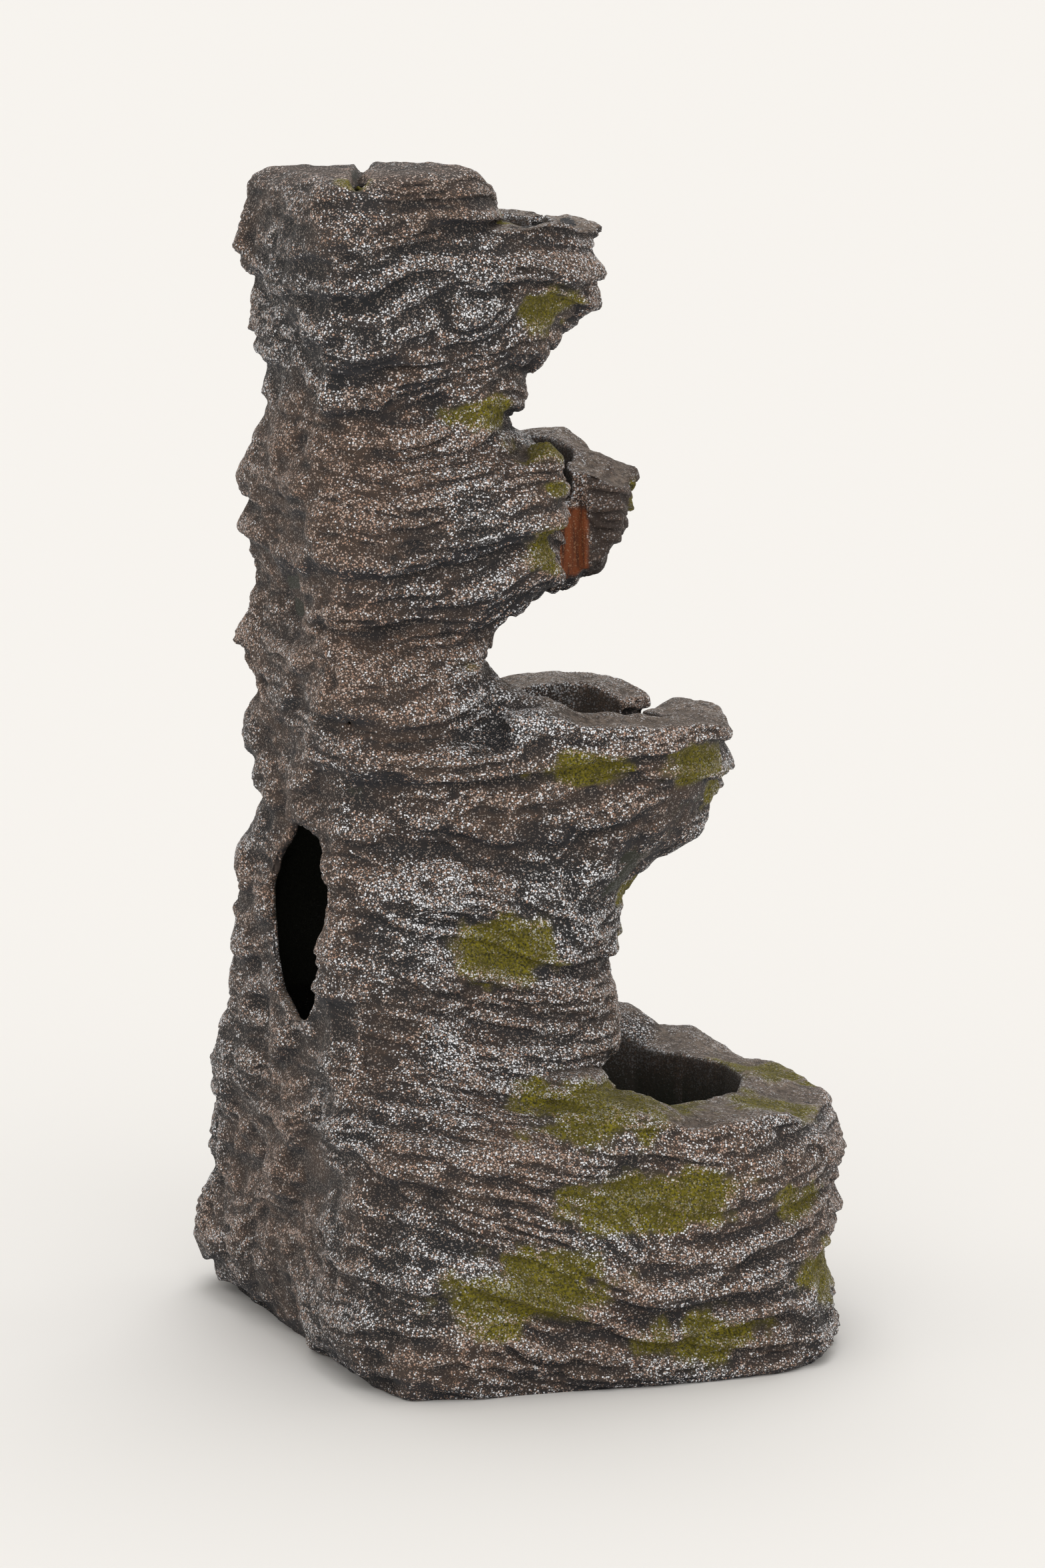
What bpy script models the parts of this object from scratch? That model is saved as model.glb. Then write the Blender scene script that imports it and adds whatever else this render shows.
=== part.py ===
"""Rock-look cascading water feature, four bowls high, with the pump and the hose that feed it.

Metres, +Z up. The origin is the middle of the footprint on the ground. The bowls face -Y, and the
flat back panel with its access hole faces +Y. The rock is cast as hollow resin sections that stack
and are bonded: a basin, three tiers and a crown, closed at the back by one tall panel.
"""

import math

import bmesh
import bpy
from mathutils import Matrix, Vector

GAP = 0.0003  # clearance between pieces that touch
THROUGH = 0.01  # how far a cutter runs past the face that it opens

# Rock shell
WALL = 0.009
DECK = 0.011
LINER = 0.008  # wall round a pool
RING_POINTS = 40
REAR_POWER = 10  # squareness of the rear half of a section
FRONT_POWER = 2.3
GROUND_POWER = 4.2  # squareness of the front at the ground
GROUND_RISE = 0.133  # height at which the front is back to its own squareness
LUMP = 0.0035  # size of the broad swellings round a section

# Heights of the bonded joints
BASE_TOP = 0.205
MIDDLE_TOP = 0.510
UPPER_TOP = 0.735
TOP_TOP = 0.925

# Sections of the rock, bottom to top:
# height, half width at the back, half width at the widest, back, where it is widest, front, and how far
# the front leans to +X
BASE = [
    (0.000, 0.258, 0.262, 0.218, -0.010, -0.193, 0.000),
    (0.020, 0.266, 0.266, 0.228, -0.010, -0.198, 0.000),
    (0.060, 0.272, 0.268, 0.242, -0.010, -0.197, 0.000),
    (0.095, 0.266, 0.262, 0.235, -0.010, -0.209, 0.000),
    (0.133, 0.252, 0.254, 0.234, -0.010, -0.234, 0.000),
    (0.165, 0.244, 0.248, 0.241, -0.010, -0.241, 0.000),
    (0.190, 0.240, 0.243, 0.242, -0.010, -0.232, 0.000),
    (BASE_TOP, 0.234, 0.236, 0.236, -0.010, -0.226, 0.000),
]
MIDDLE = [
    (BASE_TOP, 0.230, 0.218, 0.234, 0.050, -0.012, 0.000),
    (0.238, 0.196, 0.174, 0.236, 0.050, -0.012, 0.000),
    (0.270, 0.166, 0.153, 0.234, 0.050, -0.044, 0.000),
    (0.310, 0.158, 0.146, 0.235, 0.050, -0.034, 0.000),
    (0.344, 0.158, 0.143, 0.235, 0.040, -0.042, 0.000),
    (0.375, 0.150, 0.142, 0.236, 0.030, -0.052, -0.005),
    (0.402, 0.137, 0.142, 0.233, 0.020, -0.084, -0.012),
    (0.424, 0.126, 0.146, 0.225, 0.010, -0.122, -0.018),
    (0.456, 0.130, 0.153, 0.230, 0.000, -0.135, -0.020),
    (0.495, 0.138, 0.157, 0.235, -0.010, -0.142, -0.020),
    (MIDDLE_TOP, 0.140, 0.153, 0.235, -0.010, -0.140, -0.020),
]
UPPER = [
    (MIDDLE_TOP, 0.140, 0.124, 0.235, 0.120, 0.022, 0.000),
    (0.545, 0.143, 0.124, 0.232, 0.120, 0.052, 0.000),
    (0.578, 0.134, 0.108, 0.235, 0.130, 0.075, 0.000),
    (0.600, 0.117, 0.098, 0.230, 0.130, 0.056, 0.000),
    (0.620, 0.111, 0.102, 0.223, 0.110, 0.024, 0.005),
    (0.643, 0.119, 0.113, 0.229, 0.090, -0.038, 0.020),
    (0.665, 0.126, 0.120, 0.235, 0.080, -0.067, 0.035),
    (0.695, 0.131, 0.122, 0.233, 0.080, -0.077, 0.040),
    (0.718, 0.127, 0.118, 0.237, 0.080, -0.083, 0.042),
    (UPPER_TOP, 0.110, 0.110, 0.233, 0.080, -0.058, 0.040),
]
TOP = [
    (UPPER_TOP, 0.110, 0.098, 0.233, 0.130, 0.014, 0.000),
    (0.770, 0.099, 0.091, 0.226, 0.130, 0.040, 0.000),
    (0.785, 0.100, 0.095, 0.225, 0.130, 0.018, 0.000),
    (0.810, 0.105, 0.100, 0.225, 0.120, 0.024, 0.000),
    (0.831, 0.110, 0.105, 0.226, 0.120, -0.012, 0.005),
    (0.852, 0.117, 0.110, 0.228, 0.110, -0.032, 0.010),
    (0.874, 0.127, 0.112, 0.229, 0.110, -0.040, 0.010),
    (0.897, 0.139, 0.115, 0.235, 0.110, -0.034, 0.010),
    (TOP_TOP, 0.128, 0.110, 0.233, 0.110, -0.030, 0.010),
]
CROWN = [
    (TOP_TOP, 0.128, 0.112, 0.233, 0.130, 0.055, 0.000),
    (0.943, 0.120, 0.110, 0.232, 0.125, 0.057, 0.000),
    (0.957, 0.117, 0.108, 0.231, 0.125, 0.066, 0.000),
    (0.968, 0.111, 0.104, 0.227, 0.130, 0.086, 0.000),
    (0.974, 0.098, 0.094, 0.216, 0.140, 0.108, 0.000),
]

# Pools: middle x and y, half width, half depth, floor height
BASIN_POOL = (0.005, 0.016, 0.142, 0.172, 0.012)
MIDDLE_POOL = (-0.012, -0.033, 0.098, 0.060, 0.452)
UPPER_POOL = (0.026, -0.006, 0.046, 0.020, 0.690)
TOP_POOL = (0.010, 0.022, 0.050, 0.025, 0.893)
POOL_POWER = 3  # squareness of the pools

# Spill notches: heading in degrees from +X, width, depth below the rim
MIDDLE_SPILL = (-52, 0.030, 0.020)
UPPER_SPILL = (175, 0.018, 0.040)
TOP_SPILL = (-55, 0.022, 0.012)
SPILL_LENGTH = 0.20

# Upright face that cuts the second bowl's near wall back, and the channel down that face under the
# notch: x and y of the face's inner end, the way it faces, its foot, and its length
FACE = (-0.037, 0.003, 162, 0.600, 0.100)
CHANNEL_WIDTH = 0.020
CHANNEL_DEPTH = 0.005

# Back panel and its access hole
PANEL_FRONT = 0.212
PANEL_SKIN = 0.008
POCKET_SHARE = 0.60  # half width of the panel's inner pocket as a share of the panel's
HOLE_X = -0.042
HOLE_Z = 0.360
HOLE_HALF_WIDTH = 0.070
HOLE_HALF_HEIGHT = 0.083
HOLE_POINTS = 30

# Crown
CROWN_HOLLOW_TOP = 0.960
CLEFT_Y = 0.162  # at x = 0
CLEFT_SLANT = 0.354  # how much y falls for each metre of x
CLEFT_WIDTH = 0.020
CLEFT_DEPTH = 0.017

# Pump, built round the rotor's axis, which runs along X
PUMP = Vector((0.0, 0.108, 0.050))
PUMP_SIDE = 0.046  # across Y
PUMP_HIGH = 0.052
MOTOR_FRONT = -0.002
MOTOR_BACK = 0.040
CAGE_FRONT = -0.038
SHAFT_R = 0.0015
BUSH_R = 0.0042
BORE_R = SHAFT_R + 0.0001
MAGNET_R = 0.0105
CHAMBER_R = 0.0118
CHAMBER_DEEP = 0.034
IMPELLER_R = 0.0120
HUB_R = 0.0050
VOLUTE_R = 0.0175
VOLUTE_BORE = 0.0140
VOLUTE_FRONT = -0.019
SEAL_R = 0.01575
SEAL_THICK = 0.0020
BLADES = 6
BLADE_THICK = 0.0012
BUSH_LONG = 0.0048
MAGNET_LONG = 0.026
NOZZLE_X = -0.010
NOZZLE_R = 0.0074
NOZZLE_BORE = 0.0056
NOZZLE_TOP = 0.054
INLETS = 6
INLET_R = 0.0025
INLET_PLACE = 0.0088  # from the rotor's axis
CAGE_WALL = 0.0018
CAGE_SLOTS = 7  # rows; the middle row is left out for the dial's stem
SLOT_PITCH = 0.0055
SLOT_HIGH = 0.0022
SLOT_WIDE = 0.0120
SLOT_PLACE = 0.0130
DIAL_R = 0.0110
DIAL_THICK = 0.0030
DIAL_STEM_R = 0.0030
FOOT_R = 0.0085
FOOT_HIGH = 0.0115
FOOT_STEM_R = 0.0028
FOOT_SPREAD = 0.015
GLAND_R = 0.0055
GLAND_BORE = 0.0034
GLAND_LONG = 0.014
GLAND_SOCKET = 0.006
GLAND_HIGH = 0.014  # above the rotor's axis

# Hose and its fittings
HOSE_R = 0.0105
HOSE_BORE = 0.0081
HOSE_TOP = 0.9340
RISER = Vector((-0.005, 0.150))  # where the hose runs up inside the rock
DUCT_R = 0.0165
CLAMP_THICK = 0.0012
CLAMP_WIDE = 0.007
GROMMET_LIP = 0.003
SPOUT_Z = 0.9465
SPOUT_R = 0.0075
SPOUT_BORE = 0.0058
SPOUT_FRONT = 0.053
SPOUT_HOLE_R = 0.0106
SPOUT_SEAL = 0.010

ROCK = (0.16, 0.145, 0.135)


def clear_scene():
    for obj in list(bpy.data.objects):
        bpy.data.objects.remove(obj)


def add_collection(name, hidden=False):
    made = bpy.data.collections.new(name)
    bpy.context.scene.collection.children.link(made)
    made.hide_render = hidden
    return made


def add_material(name, colour, roughness, metallic=0.0):
    made = bpy.data.materials.new(name)
    made.use_nodes = True
    shader = made.node_tree.nodes["Principled BSDF"]
    shader.inputs["Base Color"].default_value = (*colour, 1.0)
    shader.inputs["Roughness"].default_value = roughness
    shader.inputs["Metallic"].default_value = metallic
    return made


clear_scene()
PARTS = add_collection("cascading_rock_water_feature")
CUTTERS = add_collection("cutters", hidden=True)


def add_object(name, mesh, colour=None, roughness=0.6, metallic=0.0):
    """Links a part when it has a colour, and a cutter when it has none."""
    made = bpy.data.objects.new(name, mesh)
    if colour is None:
        CUTTERS.objects.link(made)
        made.hide_render = True
        made.display_type = "WIRE"
        return made
    PARTS.objects.link(made)
    made.data.materials.append(add_material(name, colour, roughness, metallic))
    return made


def mesh_from(name, bm):
    mesh = bpy.data.meshes.new(name)
    bmesh.ops.recalc_face_normals(bm, faces=bm.faces)
    bm.to_mesh(mesh)
    bm.free()
    return mesh


def combine(obj, other, operation="DIFFERENCE", solver="EXACT"):
    """Adds a Boolean modifier that cuts the other object away, or joins it."""
    step = obj.modifiers.new(f"{operation.lower()} {other.name}", "BOOLEAN")
    step.operation = operation
    step.solver = solver
    step.object = other


def loft(name, rings):
    """Closed skin through rings that all have the same number of points, listed bottom to top."""
    bm = bmesh.new()
    levels = [[bm.verts.new(point) for point in ring] for ring in rings]
    for low, high in zip(levels, levels[1:]):
        for i in range(len(low)):
            j = (i + 1) % len(low)
            bm.faces.new((low[i], low[j], high[j], high[i]))
    bm.faces.new(levels[0])
    bm.faces.new(levels[-1])
    return mesh_from(name, bm)


def box(name, low, high):
    """Box between two opposite corners."""
    low, high = Vector(low), Vector(high)
    bm = bmesh.new()
    bmesh.ops.create_cube(bm, size=1.0)
    bmesh.ops.scale(bm, vec=high - low, verts=bm.verts)
    bmesh.ops.translate(bm, vec=(low + high) / 2, verts=bm.verts)
    return mesh_from(name, bm)


def rod(name, start, end, radius, sides=24):
    """Solid cylinder between two points."""
    start, end = Vector(start), Vector(end)
    turn = (end - start).to_track_quat("Z", "Y").to_matrix().to_4x4()
    bm = bmesh.new()
    bmesh.ops.create_cone(
        bm, cap_ends=True, segments=sides, radius1=radius, radius2=radius,
        depth=(end - start).length, matrix=Matrix.Translation((start + end) / 2) @ turn,
    )
    return mesh_from(name, bm)


def turned(name, profile, centre, axis, sides, colour=None, roughness=0.5, metallic=0.0):
    """Screws a (radius, height) profile, closed or ending on the axis, round an axis through centre."""
    bm = bmesh.new()
    corners = [bm.verts.new((radius, 0.0, height)) for radius, height in profile]
    for corner, following in zip(corners, corners[1:] + corners[:1]):
        if max(corner.co.x, following.co.x) > 0:
            bm.edges.new((corner, following))
    mesh = bpy.data.meshes.new(name)
    bm.to_mesh(mesh)
    bm.free()
    made = add_object(name, mesh, colour, roughness, metallic)
    made.location = centre
    made.rotation_mode = "QUATERNION"
    made.rotation_quaternion = Vector(axis).to_track_quat("Z", "Y")
    screw = made.modifiers.new("turn", "SCREW")
    screw.steps = screw.render_steps = sides
    screw.use_merge_vertices = True
    screw.merge_threshold = 0.00001
    return made


# ---------------------------------------------------------------- rock sections


def at_height(stations, z):
    """Station at height z, in proportion between the two that it lies between."""
    for low, high in zip(stations, stations[1:]):
        if z <= high[0] or high is stations[-1]:
            break
    share = min(max((z - low[0]) / (high[0] - low[0]), 0.0), 1.0)
    return (z, *(a + (b - a) * share for a, b in zip(low[1:], high[1:])))


def outline(station, inset=0.0):
    """Ring of points round the rock: a squarish rear half, and a rounder front half that may lean."""
    z, rear_half, wide_half, back, wide, front, lean = station
    squarer = (GROUND_POWER - FRONT_POWER) * max(0.0, 1 - z / GROUND_RISE)
    ring = []
    for i in range(RING_POINTS):
        angle = 2 * math.pi * (i + 0.5) / RING_POINTS
        across, along = math.cos(angle), math.sin(angle)
        rear = along > 0
        half = wide_half - inset
        reach = (back - wide if rear else wide - front) - inset
        power = REAR_POWER if rear else FRONT_POWER + squarer
        radius = ((abs(across) / half) ** power + (abs(along) / reach) ** power) ** (-1 / power)
        swell = math.sin(3 * angle + 14 * z) + 0.8 * math.sin(5 * angle - 23 * z + 1.0)
        radius += LUMP * swell * (max(0.0, -along) ** 0.5)
        x, y = radius * across, radius * along
        if rear:
            x *= 1 + (rear_half / wide_half - 1) * y / reach
        else:
            x += lean * (y / reach) ** 2
        ring.append(Vector((x, wide + y, z)))
    return ring


def pool_ring(pool, z, grow, points=20):
    """Ring of points round a pool, a little uneven, as a hand-shaped bowl is."""
    x, y, half_width, half_depth, _ = pool
    ring = []
    for i in range(points):
        angle = 2 * math.pi * i / points
        across, along = math.cos(angle), math.sin(angle)
        spread = (abs(across) / half_width) ** POOL_POWER + (abs(along) / half_depth) ** POOL_POWER
        radius = spread ** (-1 / POOL_POWER)
        radius *= 1 + 0.035 * math.sin(3 * angle + 1.0) + 0.02 * math.sin(7 * angle)
        radius += grow
        ring.append(Vector((x + radius * across, y + radius * along, z)))
    return ring


def pool_cutter(name, pool, rim):
    """The water's space: a bowl that narrows a little towards its floor."""
    floor = pool[4]
    shape = [(floor, -0.012), (floor + 0.25 * (rim - floor), -0.004), (rim + THROUGH, 0.0)]
    return add_object(name, loft(name, [pool_ring(pool, z, grow) for z, grow in shape]))


def hollow_cutter(name, stations, top, pool=None, liner_low=0.0):
    """Space inside a casting, open at the bottom, that leaves a wall round the pool."""
    heights = [stations[0][0] - THROUGH]
    heights += [station[0] for station in stations if stations[0][0] < station[0] < top - GAP]
    heights.append(top)
    rings = [outline(at_height(stations, z), WALL) for z in heights]
    made = add_object(name, loft(name, rings))
    if pool:
        liner_rings = [pool_ring(pool, z, LINER) for z in (liner_low, top + 2 * THROUGH)]
        combine(made, add_object(f"{name}_liner", loft(f"{name}_liner", liner_rings)))
    return made


def turned_box(name, low, high, place, heading):
    """Cutter: a box that starts at a place and runs out at a heading in degrees from +X."""
    made = add_object(name, box(name, low, high))
    made.location = (*place, 0.0)
    made.rotation_euler = (0.0, 0.0, math.radians(heading))
    return made


def spill_cutter(name, pool, spill, rim, grow=0.0):
    """Square-bottomed notch from the middle of a pool out through its rim, grown for the wall round it."""
    heading, width, depth = spill
    side = width / 2 + grow
    low, high = (0.0, -side, rim - depth - grow), (SPILL_LENGTH, side, rim + THROUGH)
    return turned_box(name, low, high, pool[:2], heading)


def face_cutter(name, rim, grow=0.0):
    """Block in front of the upright face, grown for the wall behind the face."""
    x, y, heading, foot, length = FACE
    low, high = (-grow, -grow, foot - grow), (SPILL_LENGTH, length + grow, rim + THROUGH)
    return turned_box(name, low, high, (x, y), heading)


def channel_cutter(name, rim):
    """Shallow channel down the upright face, from the notch to the foot."""
    x, y, heading, foot, _ = FACE
    low, high = (-CHANNEL_DEPTH, 0.0, foot), (SPILL_LENGTH, CHANNEL_WIDTH, rim + THROUGH)
    return turned_box(name, low, high, (x, y), heading)


def make_tier(name, stations, pool, spill, faced=False):
    """Hollow tier with its pool: open at the bottom, and open at the back until the panel closes it."""
    low, rim = stations[0][0] + GAP, stations[-1][0]
    rings = [outline(station) for station in stations]
    for point in rings[0]:
        point.z = low
    tier = add_object(name, loft(name, rings), ROCK, 0.9)
    hollow = hollow_cutter(f"{name}_hollow", stations, rim - DECK, pool, pool[4] - WALL)
    kept = [spill_cutter(f"{name}_spill_wall", pool, spill, rim, WALL)]
    duct = rod(f"{name}_duct", (*RISER, rim - 3 * DECK), (*RISER, rim + DECK), DUCT_R, 20)
    behind = box(f"{name}_behind", (-0.4, PANEL_FRONT, low - DECK), (0.4, 0.3, rim + DECK))
    cuts = [
        hollow,
        pool_cutter(f"{name}_pool", pool, rim),
        spill_cutter(f"{name}_spill", pool, spill, rim),
        add_object(f"{name}_duct", duct),
        add_object(f"{name}_behind", behind),
    ]
    if faced:
        kept.append(face_cutter(f"{name}_face_wall", rim, WALL + CHANNEL_DEPTH))
        cuts.append(face_cutter(f"{name}_face", rim))
        cuts.append(channel_cutter(f"{name}_channel", rim))
    # The walls and cutters here are closed skins that cross at glancing angles, which the manifold
    # solver joins cleanly
    for wall in kept:
        combine(hollow, wall, solver="MANIFOLD")
    for cut in cuts:
        combine(tier, cut, solver="MANIFOLD")


def make_base():
    """Basin with a closed floor. Its outer wall is a skin, hollow from below, round the water's tub."""
    base = add_object("base_basin", loft("base_basin", [outline(s) for s in BASE]), ROCK, 0.9)
    combine(base, hollow_cutter("base_hollow", BASE, BASE_TOP - DECK, BASIN_POOL, -2 * THROUGH))
    combine(base, pool_cutter("base_pool", BASIN_POOL, BASE_TOP))


def make_crown():
    """Cap that closes the column: hollow from below, cleft across the top, the spring's hole in front."""
    rings = [outline(station) for station in CROWN]
    for point in rings[0]:
        point.z += GAP
    crown = add_object("crown_cap", loft("crown_cap", rings), ROCK, 0.9)
    combine(crown, hollow_cutter("crown_hollow", CROWN, CROWN_HOLLOW_TOP))
    top = CROWN[-1][0]
    cleft = [
        [
            Vector((x, CLEFT_Y - CLEFT_SLANT * x - CLEFT_WIDTH / 2, top + 0.004)),
            Vector((x, CLEFT_Y - CLEFT_SLANT * x, top - CLEFT_DEPTH)),
            Vector((x, CLEFT_Y - CLEFT_SLANT * x + CLEFT_WIDTH / 2, top + 0.004)),
        ]
        for x in (-0.2, 0.2)
    ]
    combine(crown, add_object("crown_cleft", loft("crown_cleft", cleft)))
    hole = rod("crown_hole", (RISER.x, 0.0, SPOUT_Z), (RISER.x, 0.12, SPOUT_Z), SPOUT_HOLE_R)
    combine(crown, add_object("crown_hole", hole))


def panel_stations():
    """The three tiers' stations as one run, keeping one where two tiers meet."""
    run = MIDDLE + UPPER[1:] + TOP[1:]
    return [(BASE_TOP + GAP, *MIDDLE[0][1:])] + run[1:-1] + [(TOP_TOP - GAP, *run[-1][1:])]


def make_back_panel():
    """Tall panel behind the tiers, thinned from the inside, with the ragged oval access hole."""
    stations = panel_stations()
    panel = add_object("back_panel", loft("back_panel", [outline(s) for s in stations]), ROCK, 0.9)
    ahead = box("panel_front", (-0.5, -0.5, 0.0), (0.5, PANEL_FRONT + GAP, 1.2))
    combine(panel, add_object("panel_front", ahead))
    pocket = []
    for station in stations[1:-1]:
        z, half, back = station[0], station[1] * POCKET_SHARE, station[3] - PANEL_SKIN
        front = PANEL_FRONT - THROUGH
        corners = [(-half, front), (half, front), (half, back), (-half, back)]
        pocket.append([Vector((x, y, z)) for x, y in corners])
    combine(panel, add_object("panel_pocket", loft("panel_pocket", pocket)))
    rings = []
    for y in (PANEL_FRONT - 2 * THROUGH, 0.27):
        ring = []
        for i in range(HOLE_POINTS):
            angle = 2 * math.pi * i / HOLE_POINTS
            ragged = 1 + 0.018 * math.sin(7 * angle + 0.5) + 0.014 * math.sin(12 * angle)
            x = HOLE_X + HOLE_HALF_WIDTH * math.cos(angle) * ragged
            z = HOLE_Z + HOLE_HALF_HEIGHT * math.sin(angle) * ragged
            ring.append(Vector((x, y, z)))
        rings.append(ring)
    combine(panel, add_object("panel_hole", loft("panel_hole", rings)))


# ---------------------------------------------------------------- pump


def pump_point(x, y=0.0, z=0.0):
    return PUMP + Vector((x, y, z))


def pump_box(name, x_low, x_high, half_y, half_z):
    return box(name, pump_point(x_low, -half_y, -half_z), pump_point(x_high, half_y, half_z))


def rounded_box(name, x_low, x_high, half_y, half_z, radius, colour):
    made = add_object(name, pump_box(name, x_low, x_high, half_y, half_z), colour, 0.45)
    bevel = made.modifiers.new("round", "BEVEL")
    bevel.width = radius
    bevel.segments = 3
    return made


def make_motor():
    """Resin-filled motor block: the rotor's blind chamber, the seal's groove, sockets for the feet."""
    block = rounded_box(
        "pump_body", MOTOR_FRONT, MOTOR_BACK, PUMP_SIDE / 2, PUMP_HIGH / 2, 0.006, (0.02, 0.02, 0.022)
    )
    chamber_end = MOTOR_FRONT + CHAMBER_DEEP
    chamber = rod("rotor_chamber", pump_point(MOTOR_FRONT - THROUGH), pump_point(chamber_end), CHAMBER_R)
    combine(block, add_object("rotor_chamber", chamber))
    bottom = pump_point(chamber_end + 0.003)
    socket = rod("bush_socket", pump_point(chamber_end - THROUGH), bottom, BUSH_R + GAP)
    combine(block, add_object("bush_socket", socket))
    outer, inner = SEAL_R + SEAL_THICK / 2 + GAP, SEAL_R - SEAL_THICK / 2 - GAP
    deep = SEAL_THICK + GAP
    ring = [(outer, deep), (outer, -THROUGH), (inner, -THROUGH), (inner, deep)]
    combine(block, turned("seal_groove", ring, pump_point(MOTOR_FRONT), (1, 0, 0), 32))
    for index, (x, y) in enumerate(foot_places(), 1):
        top = pump_point(x, y, -PUMP_HIGH / 2 + 0.005 + GAP)
        under = pump_point(x, y, -PUMP_HIGH / 2 - THROUGH)
        hole = rod(f"foot_socket_{index}", under, top, FOOT_STEM_R + GAP, 14)
        combine(block, add_object(f"foot_socket_{index}", hole))
    inside = pump_point(MOTOR_BACK - GLAND_SOCKET, 0, GLAND_HIGH)
    outside = pump_point(MOTOR_BACK + THROUGH, 0, GLAND_HIGH)
    gland_socket = rod("gland_socket", inside, outside, GLAND_R + GAP, 20)
    combine(block, add_object("gland_socket", gland_socket))


def foot_places():
    middle = (MOTOR_FRONT + MOTOR_BACK) / 2 + 0.001
    return [(middle + i * 0.012, j * FOOT_SPREAD) for i in (-1, 1) for j in (-1, 1)]


def make_feet():
    """Rubber suction cups that push into the underside of the motor block."""
    for index, (x, y) in enumerate(foot_places(), 1):
        stem_top = FOOT_HIGH + 0.005
        profile = [
            (0.0, stem_top), (FOOT_STEM_R, stem_top), (FOOT_STEM_R, FOOT_HIGH - 0.0006),
            (0.0046, FOOT_HIGH - 0.0006), (0.0040, 0.0070), (FOOT_R, 0.0006), (FOOT_R - 0.0008, 0.0),
            (0.0030, 0.0040), (0.0, 0.0044),
        ]
        floor = Vector((PUMP.x + x, PUMP.y + y, PUMP.z - PUMP_HIGH / 2 - FOOT_HIGH))
        turned(f"suction_foot_{index}", profile, floor, (0, 0, 1), 14, (0.03, 0.03, 0.03), 0.7)


def make_rotor():
    """Ceramic shaft in two rubber bushes, and the magnet and impeller that spin on it."""
    chamber_end = MOTOR_FRONT + CHAMBER_DEEP
    shaft_start, shaft_end = VOLUTE_FRONT + 0.0005, chamber_end + 0.002
    length = shaft_end - shaft_start
    turned("rotor_shaft", [(0.0, length), (SHAFT_R, length), (SHAFT_R, 0.0), (0.0, 0.0)],
           pump_point(shaft_start), (1, 0, 0), 24, (0.85, 0.84, 0.80), 0.25)
    ring = [(BUSH_R, BUSH_LONG), (BUSH_R, 0.0), (BORE_R, 0.0), (BORE_R, BUSH_LONG)]
    rubber = (0.06, 0.06, 0.06)
    turned("bush_rear", ring, pump_point(chamber_end - 0.0022), (1, 0, 0), 24, rubber, 0.8)
    short = [(radius, height / 2) for radius, height in ring]
    turned("bush_front", short, pump_point(VOLUTE_FRONT + 0.0004), (1, 0, 0), 24, rubber, 0.8)
    magnet = [(MAGNET_R, MAGNET_LONG), (MAGNET_R, 0.0), (BORE_R, 0.0), (BORE_R, MAGNET_LONG)]
    turned("rotor_magnet", magnet, pump_point(0.0020), (1, 0, 0), 32, (0.09, 0.09, 0.10), 0.5, 0.3)
    hub_low, hub_high = VOLUTE_FRONT + 0.0050, 0.0020 - GAP
    long = hub_high - hub_low
    sleeve = [(HUB_R, long), (HUB_R, 0.0), (BORE_R, 0.0), (BORE_R, long)]
    hub = turned("impeller", sleeve, pump_point(hub_low), (1, 0, 0), 24, (0.12, 0.16, 0.30), 0.4)
    for index in range(BLADES):
        angle = 2 * math.pi * index / BLADES
        low, high = (0.0, 0.0034, -BLADE_THICK / 2), (0.0100, IMPELLER_R, BLADE_THICK / 2)
        blade = box(f"blade_{index}", low, high)
        cutter = add_object(f"blade_{index}", blade)
        cutter.location = pump_point(hub_low + 0.0004)
        cutter.rotation_euler = (angle, 0.0, 0.0)
        combine(hub, cutter, "UNION")


def make_impeller_cover():
    """Volute round the impeller: inlet holes round the front bush, and the outlet nozzle on top."""
    long = MOTOR_FRONT - GAP - VOLUTE_FRONT
    profile = [
        (VOLUTE_R, long), (VOLUTE_R, 0.0), (BUSH_R + GAP, 0.0), (BUSH_R + GAP, 0.003),
        (VOLUTE_BORE, 0.003), (VOLUTE_BORE, long),
    ]
    plastic = (0.03, 0.03, 0.033)
    cover = turned("impeller_cover", profile, pump_point(VOLUTE_FRONT), (1, 0, 0), 32, plastic, 0.4)
    start, top = pump_point(NOZZLE_X, 0, VOLUTE_BORE + 0.001), pump_point(NOZZLE_X, 0, NOZZLE_TOP)
    combine(cover, add_object("nozzle", rod("nozzle", start, top, NOZZLE_R)), "UNION")
    start, top = pump_point(NOZZLE_X, 0, 0.008), pump_point(NOZZLE_X, 0, NOZZLE_TOP + THROUGH)
    combine(cover, add_object("nozzle_bore", rod("nozzle_bore", start, top, NOZZLE_BORE)))
    for index in range(INLETS):
        angle = 2 * math.pi * (index + 0.5) / INLETS
        middle = pump_point(VOLUTE_FRONT, INLET_PLACE * math.cos(angle), INLET_PLACE * math.sin(angle))
        start, end = middle - Vector((THROUGH, 0, 0)), middle + Vector((0.0045, 0, 0))
        hole = rod(f"inlet_{index}", start, end, INLET_R, 12)
        combine(cover, add_object(f"inlet_{index}", hole))


def make_seal():
    """O-ring in the groove of the motor's face, behind the volute's rim."""
    turns = [-math.pi / 3 * i for i in range(6)]
    half = SEAL_THICK / 2
    ring = [(SEAL_R + half * math.cos(turn), half * math.sin(turn)) for turn in turns]
    middle = pump_point(MOTOR_FRONT + SEAL_THICK / 2)
    turned("cover_o_ring", ring, middle, (1, 0, 0), 24, (0.02, 0.02, 0.02), 0.7)


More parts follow.
